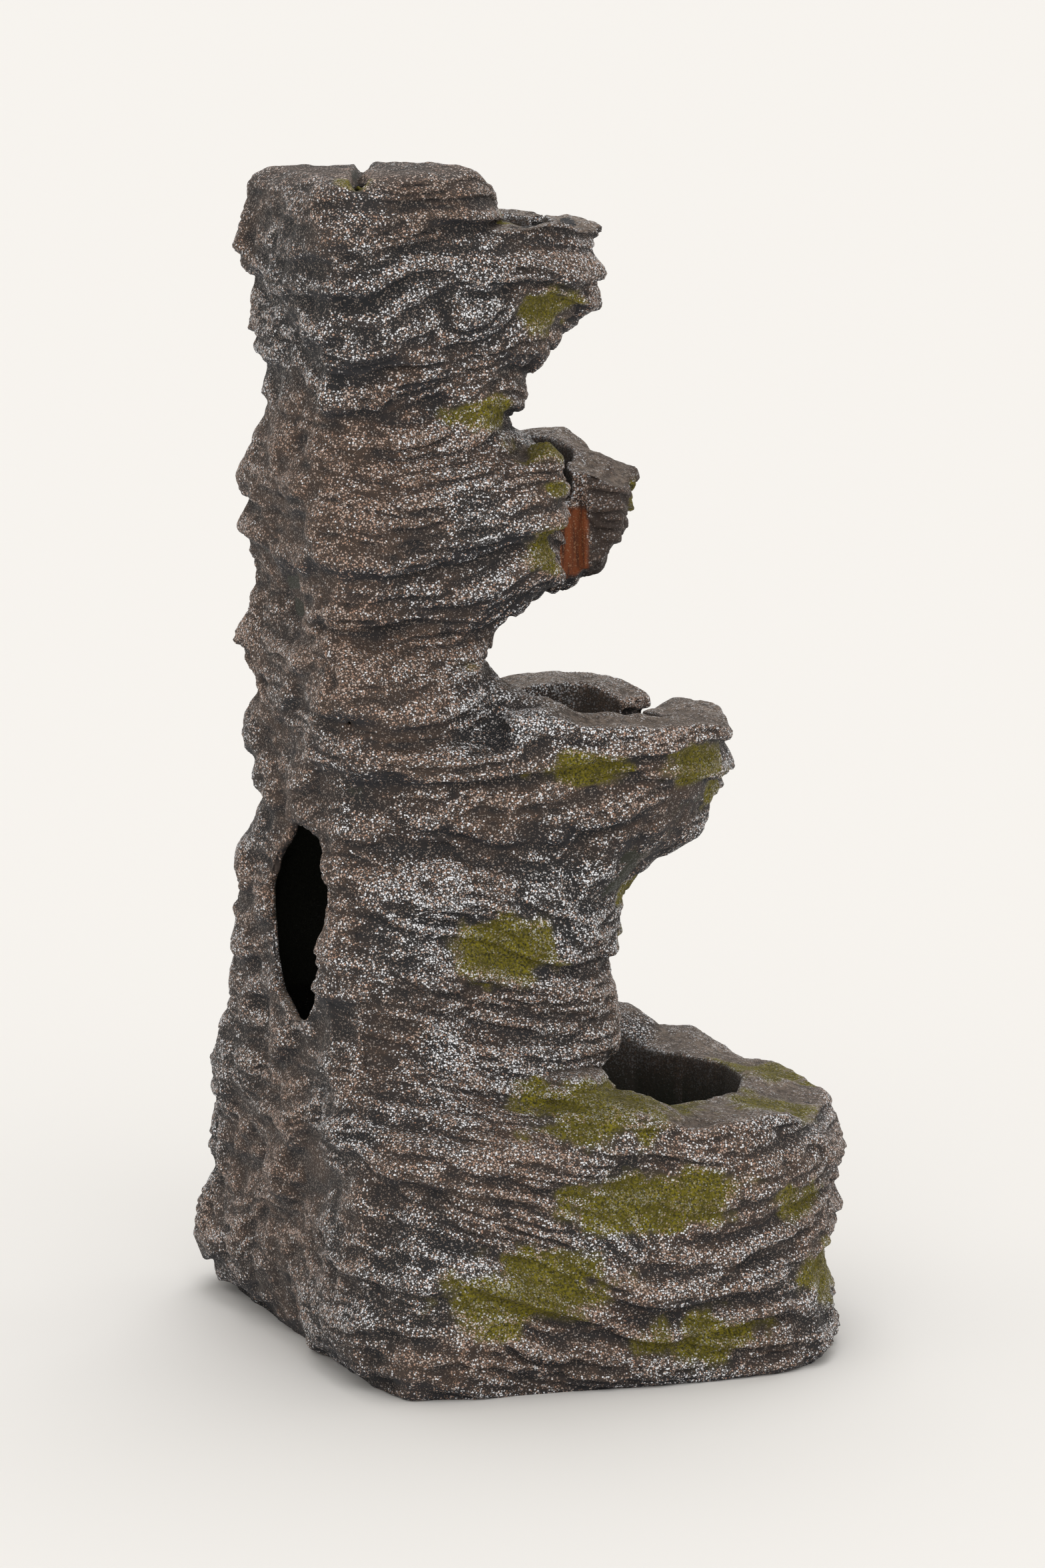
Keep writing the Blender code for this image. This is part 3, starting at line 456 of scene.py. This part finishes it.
# Limits of the regions that the masks treat apart, each for one band: the cut-back face out from the
# channel's back and along it, then heights above the ground
FACE_AWAY, FACE_ALONG = (-0.016, -0.012, 0.003, 0.008), (-0.008, -0.003, 0.034, 0.040)
FACE_HEIGHT = (0.585, 0.595, 0.700, 0.708)
CHUNK_HEIGHT = (0.590, 0.615, 0.760, 0.780)
UNDERCUT_HEIGHT = (0.800, 0.820, 0.885, 0.892)
SHADE_DEPTH = (0.030, 0.062)  # depths in a bowl between which painted shade turns its wall darkest
CROWN_SHADE = 2.2  # how much more painted shade the crown's rear gets than the back


def channel_place(points):
    """How far each point lies along the channel's back from its inner end, and how far out from it."""
    x, y = CHANNEL_START
    turn = math.radians(CHANNEL_FACING)
    away = (points[:, 0] - x) * math.cos(turn) + (points[:, 1] - y) * math.sin(turn)
    along = (points[:, 1] - y) * math.cos(turn) - (points[:, 0] - x) * math.sin(turn)
    return along, away


def rust_share(points):
    """1 on the stained face at the channel's back."""
    along, away = channel_place(points)
    share = band(-0.013, -0.009, 0.0, 0.003, away)
    share *= band(-0.004, 0.000, CHANNEL_WIDTH - 0.001, CHANNEL_WIDTH + 0.003, along)
    return share * band(RUST_FOOT - 0.02, RUST_FOOT, RUST_LIP, RUST_LIP + 0.004, points[:, 2])


def depth_share(points):
    """0 at a bowl's rim, 1 well below it."""
    z = points[:, 2]
    below = np.full(len(z), 1.0)
    for rim in RIMS:
        reach = rim + HIGHEST_BUMP - z
        below = np.where(reach > 0, np.minimum(below, reach), below)
    return step(*SHADE_DEPTH, below)


def moss_share(points):
    """The moss patches, with broken edges."""
    patch = blobs(points, MOSS)
    broken = 0.5 + 0.5 * fbm(points, 0.018, 71, 3)
    return step(0.14, 0.85, patch + 0.5 * (broken - 0.5)) * (patch > 0)


def open_share(points):
    """0 on the cut-back face and in the undercut of the top bowl, which are outside and get none of the
    painted shade of the bowls' insides.
    """
    y, z = points[:, 1], points[:, 2]
    along, away = channel_place(points)
    face = band(*FACE_AWAY, away) * band(*FACE_ALONG, along) * band(*FACE_HEIGHT, z)
    undercut = band(*UNDERCUT_HEIGHT, z) * step(0.045, 0.030, y)
    return (1 - face) * (1 - undercut)


def chunk_share(points):
    """1 on the chunk of the second bowl, in front of the stained face, where painted shade darkens it."""
    x, z = points[:, 0], points[:, 2]
    along, away = channel_place(points)
    chunk = step(0.020, 0.030, along) * step(0.016, 0.004, away) * step(0.100, 0.040, x)
    return chunk * band(*CHUNK_HEIGHT, z)


def paint_masks(points, masks):
    """Adds the masks that follow from a point's place alone."""
    y, z = points[:, 1], points[:, 2]
    crown = step(0.86, 0.93, z) * step(0.06, 0.11, y)
    masks["moss"] = moss_share(points)
    masks["inner"] = masks["inner"] * open_share(points)
    # Painted shade: the deeper below a rim, the darker the bowl's wall
    masks["deep"] = depth_share(points)
    masks["rust"] = rust_share(points)
    masks["chunk"] = chunk_share(points)
    # Painted shade on the rear faces and the crown's rear: sparser, browner grit
    masks["back"] = np.maximum(step(0.14, 0.215, y), CROWN_SHADE * crown)
    return masks


# ---------------------------------------------------------------- splitting into the cast sections

FAR = 1.0  # beyond the rock on every side
# Each joint steps up in front of the column, so that a bowl's whole rim stays with its own section:
# height of the joint, where the step is, height in front of it
STEPS = (
    (RIMS[0], -0.058, 0.30),
    (RIMS[1], 0.010, 0.57),
    (RIMS[2], 0.003, 0.785),
    (RIMS[3], 0.050, 0.970),
)


def joint_line(k, back):
    """Outline of joint k in the plane across X, from the back to the front."""
    if k < 0 or k >= len(STEPS):
        level = -FAR if k < 0 else FAR + 1.0
        return [(back, level), (-FAR, level)]
    height, front, raised = STEPS[k]
    return [(back, height), (front, height), (front, raised), (-FAR, raised)]


def block(name, under, over, back):
    """The space between two joints, in front of the plane y = back."""
    line = joint_line(under, back) + joint_line(over, back)[::-1]
    bm = bmesh.new()
    sides = [[bm.verts.new((x, y, z)) for y, z in line] for x in (-FAR, FAR)]
    count = len(line)
    for i in range(count):
        j = (i + 1) % count
        bm.faces.new((sides[0][i], sides[0][j], sides[1][j], sides[1][i]))
    bm.faces.new(sides[0][::-1])
    bm.faces.new(sides[1])
    bmesh.ops.recalc_face_normals(bm, faces=bm.faces)
    bmesh.ops.triangulate(bm, faces=bm.faces)
    mesh = bpy.data.meshes.new(name)
    bm.to_mesh(mesh)
    bm.free()
    return add_object(name, mesh)


def blocks():
    """Piece name, the CAD section it stands for, and the space that it keeps."""
    front = PANEL_FRONT
    low, top = STEPS[0][0], STEPS[-1][0]
    return [
        ("rock_base", "base_basin", block("b0", -1, 0, FAR)),
        ("rock_middle", "middle_tier", block("b1", 0, 1, front)),
        ("rock_upper", "upper_tier", block("b2", 1, 2, front)),
        ("rock_top", "top_tier", block("b3", 2, 3, front)),
        ("rock_crown", "crown_cap", block("b4", 3, 4, FAR)),
        ("rock_back", "back_panel", box_object("b5", (-FAR, front, low), (FAR, FAR, top))),
    ]


def triangles(mesh):
    return sum(len(face.vertices) - 2 for face in mesh.polygons)


def thin_out(piece):
    """Merges the flattest faces of a piece that has more of them than it needs."""
    count = triangles(piece.data)
    if count > MOST_TRIANGLES:
        thin = piece.modifiers.new("thin", "DECIMATE")
        thin.ratio = MOST_TRIANGLES / count
        apply_modifiers(piece)


def split(obj, masks, material):
    """Cuts the sculpted rock into its cast sections, each with the masks and the CAD node it replaces."""
    source = arrays_of(obj.data)
    tree = KDTree(len(source))
    for k, p in enumerate(source):
        tree.insert(p, k)
    tree.balance()
    for name, node, space in blocks():
        piece = add_object(name, obj.data.copy())
        cut = piece.modifiers.new("section", "BOOLEAN")
        cut.operation = "INTERSECT"
        cut.solver = "MANIFOLD"
        cut.object = space
        apply_modifiers(piece)
        bpy.data.objects.remove(space)
        thin_out(piece)
        points = arrays_of(piece.data)
        nearest = np.array([tree.find(p)[1] for p in points])
        for mask, values in masks.items():
            attribute = piece.data.attributes.new(mask, "FLOAT", "POINT")
            attribute.data.foreach_set("value", values[nearest].astype(np.float32))
        piece.data.polygons.foreach_set("use_smooth", np.ones(len(piece.data.polygons), bool))
        piece.data.materials.clear()
        piece.data.materials.append(material)
        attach(piece, ROCK_BODY)
        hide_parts(node)
    bpy.data.objects.remove(obj)


# ---------------------------------------------------------------- materials


class Graph:
    """A material's node tree, with short calls for the nodes that recur."""

    def __init__(self, name):
        self.material = bpy.data.materials.new(name)
        self.material.use_nodes = True
        self.tree = self.material.node_tree
        self.shader = self.tree.nodes["Principled BSDF"]
        self.place = self.add("ShaderNodeTexCoord").outputs["Object"]

    def add(self, kind, **settings):
        node = self.tree.nodes.new(kind)
        for key, value in settings.items():
            setattr(node, key, value)
        return node

    def put(self, socket, value):
        if isinstance(value, bpy.types.NodeSocket):
            self.tree.links.new(value, socket)
        elif value is not None:
            socket.default_value = value

    def noise(self, scale, detail, place=None):
        node = self.add("ShaderNodeTexNoise")
        self.put(node.inputs["Vector"], place or self.place)
        node.inputs["Scale"].default_value = scale
        node.inputs["Detail"].default_value = detail
        return node.outputs["Fac"]

    def voronoi(self, scale, feature="F1"):
        node = self.add("ShaderNodeTexVoronoi", feature=feature)
        self.put(node.inputs["Vector"], self.place)
        node.inputs["Scale"].default_value = scale
        return node

    def stretch(self, x, y, z):
        node = self.add("ShaderNodeMapping")
        self.put(node.inputs["Vector"], self.place)
        node.inputs["Scale"].default_value = (x, y, z)
        return node.outputs["Vector"]

    def attribute(self, name):
        return self.add("ShaderNodeAttribute", attribute_name=name).outputs["Fac"]

    def math(self, operation, a, b=None, clamp=False):
        node = self.add("ShaderNodeMath", operation=operation, use_clamp=clamp)
        self.put(node.inputs[0], a)
        self.put(node.inputs[1], b)
        return node.outputs[0]

    def ramp(self, value, low, high, to_low=0.0, to_high=1.0):
        node = self.add("ShaderNodeMapRange", interpolation_type="SMOOTHSTEP")
        for socket, given in zip(node.inputs, (value, low, high, to_low, to_high)):
            self.put(socket, given)
        return node.outputs[0]

    def mix(self, share, a, b):
        node = self.add("ShaderNodeMix", data_type="RGBA")
        self.put(node.inputs[0], share)
        for socket, colour in ((node.inputs[6], a), (node.inputs[7], b)):
            self.put(socket, (*colour, 1.0) if isinstance(colour, tuple) else colour)
        return node.outputs[2]

    def bump(self, height, distance, strength):
        node = self.add("ShaderNodeBump")
        node.inputs["Strength"].default_value = strength
        node.inputs["Distance"].default_value = distance
        self.put(node.inputs["Height"], height)
        return node.outputs["Normal"]

    def finish(self, colour, roughness, normal=None, metallic=0.0):
        self.put(self.shader.inputs["Base Color"], colour)
        self.put(self.shader.inputs["Roughness"], roughness)
        self.put(self.shader.inputs["Metallic"], metallic)
        if normal is not None:
            self.put(self.shader.inputs["Normal"], normal)
        return self.material


MASKS = ("ridge", "crease", "up", "top", "moss", "inner", "rust", "back", "deep", "chunk")
# The two sizes of grit: cells per metre, share of the cover, and where a grain's edge starts and ends
LARGE_GRAINS, SMALL_GRAINS = (620, 0.85, 0.58, 0.40), (1150, 0.62, 0.60, 0.42)
# How much each mask thins out the grit; the thinning by crease, back and chunk is painted shade
THINNED = {"crease": 0.30, "back": 0.11, "top": 0.22, "rust": 0.55, "chunk": 0.30}
CHARCOAL, EARTH, PALE_EARTH = (0.016, 0.014, 0.014), (0.052, 0.032, 0.022), (0.075, 0.060, 0.053)
# Painted shade colours: bluish under ledges, near black in crevices, dark umber on the second bowl's chunk
BLUE_SHADE, CREVICE_SHADE, CHUNK_SHADE = (0.016, 0.017, 0.022), (0.008, 0.009, 0.012), (0.042, 0.028, 0.022)
WHITE_GRAIN, GREY_GRAIN, BROWN_GRAIN = (0.88, 0.89, 0.93), (0.50, 0.50, 0.52), (0.30, 0.19, 0.13)
PINK_GRAINS = (0.60, 0.53, 0.49), (0.42, 0.235, 0.155)
# Faint grain tones where the grit is sparse, partly painted shade
FAINT_GRAINS = (0.250, 0.215, 0.190), (0.135, 0.092, 0.070)
TOP_TONES, TOP_DIRT = ((0.056, 0.040, 0.030), (0.24, 0.185, 0.145)), (0.045, 0.034, 0.027)
RUST_TONES, RUST_GRAIN = ((0.050, 0.016, 0.008), (0.27, 0.070, 0.018)), (0.45, 0.22, 0.10)
LEAF_TONES, LEAF_DARK = ((0.022, 0.020, 0.001), (0.215, 0.182, 0.007)), (0.060, 0.050, 0.002)
MOSS_GRAIN = (0.30, 0.25, 0.06)
# Painted shade inside the bowls: dark tones on the inner walls, greenish black deep down
INNER_SHADE_TONES, DEEP_SHADE = ((0.022, 0.017, 0.014), (0.085, 0.065, 0.052)), (0.022, 0.024, 0.015)


def grit_cover(g, mask):
    """Share of the surface that the grit covers, before and after its lower limit."""
    patches = g.noise(11, 4)
    beds = g.noise(1.0, 3, place=g.stretch(12, 12, 60))
    cover = g.ramp(mask["ridge"], 0.15, 0.95, 0.22, 0.63)
    cover = g.math("ADD", cover, g.ramp(patches, 0.35, 0.68, -0.07, 0.12))
    cover = g.math("ADD", cover, g.ramp(beds, 0.35, 0.65, -0.09, 0.11))
    # Painted shade and light: sparser grit on faces that turn down, a little more on faces that turn up
    cover = g.math("ADD", cover, g.ramp(mask["up"], -0.55, 0.25, -0.26, 0.08))
    for name, amount in THINNED.items():
        cover = g.math("SUBTRACT", cover, g.math("MULTIPLY", mask[name], amount))
    return cover, g.math("MAXIMUM", cover, g.ramp(mask["up"], -0.60, -0.15, 0.12, 0.26))


def grains(g, cover, scale, share, edge, core):
    """Where the grains of one size are, and their three random tones."""
    cells = g.voronoi(scale)
    tones = g.add("ShaderNodeSeparateColor")
    g.put(tones.inputs[0], cells.outputs["Color"])
    shown = g.math("LESS_THAN", tones.outputs[0], g.math("MULTIPLY", cover, share))
    return g.math("MULTIPLY", shown, g.ramp(cells.outputs["Distance"], edge, core)), tones.outputs


def ground_colour(g, mask, shade):
    """The resin under the grit: brown and charcoal, with painted shade, bluish under ledges and near black
    in crevices.
    """
    ground = g.mix(g.ramp(shade, 0.38, 0.62), CHARCOAL, EARTH)
    ground = g.mix(g.ramp(mask["ridge"], 0.3, 1.0, 0.0, 0.30), ground, PALE_EARTH)
    # Painted shade: bluish on faces that turn down, under the ledges
    under = g.ramp(mask["up"], -0.15, -0.60)
    ground = g.mix(g.math("MULTIPLY", under, 0.85), ground, BLUE_SHADE)
    # Painted shade: near black in the creases
    return g.mix(g.math("MULTIPLY", mask["crease"], 0.80, True), ground, CREVICE_SHADE)


def grain_colours(g, mask, shade, tones, strong):
    """Colours of the large and the small grains; both turn faint where the grit is sparse, which is partly
    painted shade.
    """
    # Painted shade: browner grains on the back
    browner = g.math("MULTIPLY", mask["back"], 0.15)
    brown_share = g.math("ADD", g.ramp(shade, 0.38, 0.62, 0.25, 0.75), browner)
    tinted = g.math("LESS_THAN", tones[2], brown_share)
    white = g.mix(tinted, WHITE_GRAIN, g.mix(tones[1], *PINK_GRAINS))
    grey = g.mix(tinted, GREY_GRAIN, BROWN_GRAIN)
    faint = g.mix(tones[1], *FAINT_GRAINS)
    return g.mix(strong, faint, white), g.mix(strong, faint, grey)


def worn_top(g, speck, white):
    """The smoother, dusty look of the bowls' flat rims."""
    smooth = g.mix(g.ramp(g.noise(200, 4), 0.3, 0.7), *TOP_TONES)
    smooth = g.mix(g.ramp(g.noise(14, 3), 0.35, 0.65, 0.0, 0.6), smooth, TOP_DIRT)
    return g.mix(g.math("MULTIPLY", speck, 0.30), smooth, white)


def rust_stain(g, speck):
    """Streaks of rust that run down the face, with dulled grains."""
    streaks = g.noise(1.0, 4, place=g.stretch(240, 240, 18))
    stain = g.mix(g.ramp(streaks, 0.35, 0.65), *RUST_TONES)
    return g.mix(g.math("MULTIPLY", speck, 0.5), stain, RUST_GRAIN)


def with_moss(g, colour, moss, speck):
    """The colour with moss flocked over it, and how thickly it lies; grains show through."""
    leaf = g.mix(g.ramp(g.noise(480, 4), 0.32, 0.68), *LEAF_TONES)
    leaf = g.mix(g.ramp(g.noise(60, 3), 0.35, 0.65, 0.0, 0.6), leaf, LEAF_DARK)
    bare = g.math("MULTIPLY", speck, g.ramp(moss, 1.0, 0.35, 0.36, 0.95))
    flock = g.math("MULTIPLY", g.ramp(moss, 0.05, 0.55), g.math("SUBTRACT", 1.0, bare))
    colour = g.mix(g.math("MULTIPLY", moss, 0.45), colour, MOSS_GRAIN)
    return g.mix(flock, colour, leaf), flock


def shaded_inner_wall(g, speck, grey, deep):
    """Painted shade on the walls inside the bowls, darkest and greenish toward the bottom."""
    inner_shade = g.mix(g.noise(90, 4), *INNER_SHADE_TONES)
    inner_shade = g.mix(g.math("MULTIPLY", speck, 0.22), inner_shade, grey)
    return g.mix(deep, inner_shade, DEEP_SHADE)


def rock_material():
    """Resin rock under two sizes of grit, with worn tops, rust, moss, and painted shade in the bowls,
    creases and undersides.
    """
    g = Graph("speckled_rock")
    mask = {name: g.attribute(name) for name in MASKS}
    bare_cover, cover = grit_cover(g, mask)
    strong = g.ramp(bare_cover, -0.02, 0.42)
    big, tones = grains(g, cover, *LARGE_GRAINS)
    small = grains(g, cover, *SMALL_GRAINS)[0]
    speck = g.math("MAXIMUM", big, small)

    shade = g.noise(7, 4)
    white, grey = grain_colours(g, mask, shade, tones, strong)
    colour = g.mix(small, ground_colour(g, mask, shade), grey)
    colour = g.mix(big, colour, white)
    # Painted shade: the second bowl's chunk darkened to umber
    colour = g.mix(g.math("MULTIPLY", mask["chunk"], 0.60), colour, CHUNK_SHADE)
    colour = g.mix(g.math("MULTIPLY", mask["top"], 0.85), colour, worn_top(g, speck, white))
    colour = g.mix(mask["rust"], colour, rust_stain(g, speck))
    colour, flock = with_moss(g, colour, mask["moss"], speck)
    inner_shade = shaded_inner_wall(g, speck, grey, mask["deep"])
    # Painted shade on the walls that face into the bowls
    colour = g.mix(g.math("MULTIPLY", mask["inner"], 0.97), colour, inner_shade)

    height = g.math("ADD", g.math("MULTIPLY", speck, 0.6), g.noise(430, 3))
    rough = g.ramp(speck, 0, 1, 0.82, 0.42)
    rough = g.math("MAXIMUM", rough, g.math("MULTIPLY", flock, 0.95))
    return g.finish(colour, rough, g.bump(height, 0.0007, 0.9))


def plastic_material(name, colour, roughness=0.42):
    """Moulded plastic with faint flow marks, spots of limescale and a fine matt texture."""
    g = Graph(name)
    flow = g.noise(1.0, 3, place=g.stretch(60, 60, 240))
    grit = g.noise(2600, 2)
    dark, pale = (tuple(share * c for c in colour) for share in (0.75, 1.2))
    shade = g.mix(g.ramp(flow, 0.3, 0.7), dark, pale)
    limed = g.mix(g.ramp(g.noise(35, 4), 0.60, 0.78, 0.0, 0.35), shade, (0.34, 0.33, 0.30))
    rough = g.ramp(grit, 0.3, 0.7, roughness - 0.08, roughness + 0.14)
    return g.finish(limed, rough, g.bump(grit, 0.00012, 0.6))


def rubber_material(name, colour):
    """Matt rubber with a dusty bloom and small pits."""
    g = Graph(name)
    bloom = g.ramp(g.noise(90, 4), 0.45, 0.75, 0.0, 0.5)
    shade = g.mix(bloom, colour, (0.16, 0.155, 0.15))
    pits = g.ramp(g.voronoi(1900).outputs["Distance"], 0.05, 0.45)
    return g.finish(shade, g.ramp(bloom, 0.0, 0.5, 0.68, 0.92), g.bump(pits, 0.0001, 0.5))


def sponge_material():
    """Open-celled foam: painted shade in the pores between paler struts."""
    g = Graph("filter_foam")
    cells = g.voronoi(520, "DISTANCE_TO_EDGE")
    strut = g.ramp(cells.outputs["Distance"], 0.16, 0.03)
    # Painted shade: near black in the pores
    shade = g.mix(strut, (0.004, 0.005, 0.008), (0.045, 0.060, 0.095))
    shade = g.mix(g.ramp(g.noise(60, 3), 0.5, 0.8, 0.0, 0.5), shade, (0.11, 0.085, 0.045))
    return g.finish(shade, 0.95, g.bump(strut, 0.0012, 1.0))


def magnet_material():
    """Sintered ferrite: dark grey grains, with a few bright ones."""
    g = Graph("ferrite")
    grain = g.voronoi(1500)
    shade = g.mix(grain.outputs["Distance"], (0.075, 0.074, 0.078), (0.025, 0.025, 0.028))
    rough = g.ramp(g.noise(700, 3), 0.3, 0.7, 0.38, 0.62)
    return g.finish(shade, rough, g.bump(g.noise(1400, 2), 0.00008, 0.6), 0.35)


def ceramic_material():
    """Ground white ceramic with turning marks round the shaft."""
    g = Graph("ceramic")
    marks = g.noise(1.0, 2, place=g.stretch(5200, 60, 60))
    shade = g.mix(marks, (0.70, 0.69, 0.66), (0.86, 0.85, 0.82))
    return g.finish(shade, g.ramp(marks, 0.3, 0.7, 0.16, 0.30), g.bump(marks, 0.00003, 0.4))


def hose_material():
    """Dark vinyl hose with close ribs, painted shade in their grooves, and a chalky film."""
    g = Graph("vinyl_hose")
    ribs = g.add("ShaderNodeTexWave", bands_direction="Z")
    g.put(ribs.inputs["Vector"], g.place)
    ribs.inputs["Scale"].default_value = 95
    ribs.inputs["Distortion"].default_value = 0.4
    film = g.ramp(g.noise(24, 5), 0.45, 0.75, 0.0, 0.45)
    # Painted shade: the ribs' grooves darker than their crests
    shade = g.mix(ribs.outputs["Fac"], (0.010, 0.012, 0.010), (0.032, 0.036, 0.032))
    shade = g.mix(film, shade, (0.22, 0.21, 0.18))
    rough = g.ramp(film, 0.0, 0.45, 0.34, 0.75)
    return g.finish(shade, rough, g.bump(ribs.outputs["Fac"], 0.0006, 0.8))


def steel_material():
    """Rolled stainless band with long scratches and tea-coloured stains."""
    g = Graph("clamp_steel_finish")
    scratch = g.noise(1.0, 3, place=g.stretch(160, 160, 3800))
    stain = g.ramp(g.noise(130, 4), 0.52, 0.74, 0.0, 0.7)
    shade = g.mix(g.ramp(scratch, 0.3, 0.7), (0.42, 0.42, 0.43), (0.66, 0.66, 0.67))
    shade = g.mix(stain, shade, (0.24, 0.13, 0.06))
    rough = g.math("ADD", g.ramp(scratch, 0.3, 0.7, 0.22, 0.36), g.math("MULTIPLY", stain, 0.35))
    return g.finish(shade, rough, g.bump(scratch, 0.00004, 0.5), 1.0)


# ---------------------------------------------------------------- stage

FLOOR_HALF = 60.0
FLOOR_COLOUR = (0.872, 0.858, 0.840, 1.0)
SKY_COLOUR, SKY_STRENGTH = (0.905, 0.880, 0.838, 1.0), 0.72
# Soft lights: name, the way that the light travels, strength, and the light's width in degrees
SUNS = (("key", (-0.55, 0.20, -1.05), 0.9, 40), ("fill", (0.9, -0.25, -0.75), 0.85, 60))
CAMERA_PLACE = (-5.184, 1.857, 1.27)
CAMERA_HEADING = (0.9426, -0.3338)  # level direction of view
CAMERA_PITCH = 8.42  # degrees down
CAMERA_LENS = 153.06


def add_sun(name, toward, strength, angle):
    data = bpy.data.lights.new(name, "SUN")
    data.energy = strength
    data.angle = math.radians(angle)
    lamp = add_object(name, data)
    lamp.rotation_mode = "QUATERNION"
    lamp.rotation_quaternion = Vector(toward).to_track_quat("-Z", "Y")


def make_stage():
    """The floor, an even sky and the suns."""
    bm = bmesh.new()
    bmesh.ops.create_grid(bm, x_segments=1, y_segments=1, size=FLOOR_HALF)
    mesh = bpy.data.meshes.new("floor")
    bm.to_mesh(mesh)
    bm.free()
    floor = add_object("floor", mesh)
    g = Graph("pale_floor")
    floor.data.materials.append(g.finish(FLOOR_COLOUR, 0.9))

    world = bpy.data.worlds.new("studio")
    bpy.context.scene.world = world
    world.use_nodes = True
    sky = world.node_tree.nodes["Background"]
    sky.inputs[0].default_value = SKY_COLOUR
    sky.inputs[1].default_value = SKY_STRENGTH
    for sun in SUNS:
        add_sun(*sun)
    bpy.context.scene.view_settings.view_transform = "Standard"


def make_camera():
    """The photograph's viewing angle: the object's side, turned a little to the back."""
    data = bpy.data.cameras.new("camera")
    data.lens = CAMERA_LENS
    camera = add_object("camera", data)
    camera.location = CAMERA_PLACE
    pitch = math.radians(CAMERA_PITCH)
    ahead = Vector((*(c * math.cos(pitch) for c in CAMERA_HEADING), -math.sin(pitch)))
    camera.rotation_mode = "QUATERNION"
    camera.rotation_quaternion = ahead.to_track_quat("-Z", "Y")
    bpy.context.scene.camera = camera


# ---------------------------------------------------------------- pieces and their finishes

RUBBER = ("bush_front", "bush_rear", "cover_o_ring", "cable_gland", "spout_grommet")
RUBBER += tuple(f"suction_foot_{k}" for k in range(1, 5)) + tuple(f"hose_grommet_{k}" for k in range(1, 4))
MOULDED = ("pump_body", "impeller_cover", "intake_cage", "spout_elbow")


def fitting_finishes():
    """Which CAD nodes each finish goes on."""
    return (
        (plastic_material("black_plastic", (0.018, 0.018, 0.020)), MOULDED),
        (plastic_material("grey_plastic", (0.060, 0.062, 0.068), 0.36), ("flow_dial",)),
        (plastic_material("blue_plastic", (0.030, 0.055, 0.160), 0.34), ("impeller",)),
        (rubber_material("black_rubber", (0.016, 0.016, 0.016)), RUBBER),
        (sponge_material(), ("filter_sponge",)),
        (magnet_material(), ("rotor_magnet",)),
        (ceramic_material(), ("rotor_shaft",)),
        (hose_material(), ("riser_hose",)),
        (steel_material(), ("hose_clamp_lower", "hose_clamp_upper")),
    )


def make_rock():
    rock = fused_rock()
    masks = sculpt(rock)
    masks = paint_masks(arrays_of(rock.data), masks)
    split(rock, masks, rock_material())


def finish_fittings():
    for material, names in fitting_finishes():
        for name in names:
            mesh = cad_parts[name].data
            mesh.materials.clear()
            mesh.materials.append(material)


make_rock()
finish_fittings()
make_stage()
make_camera()
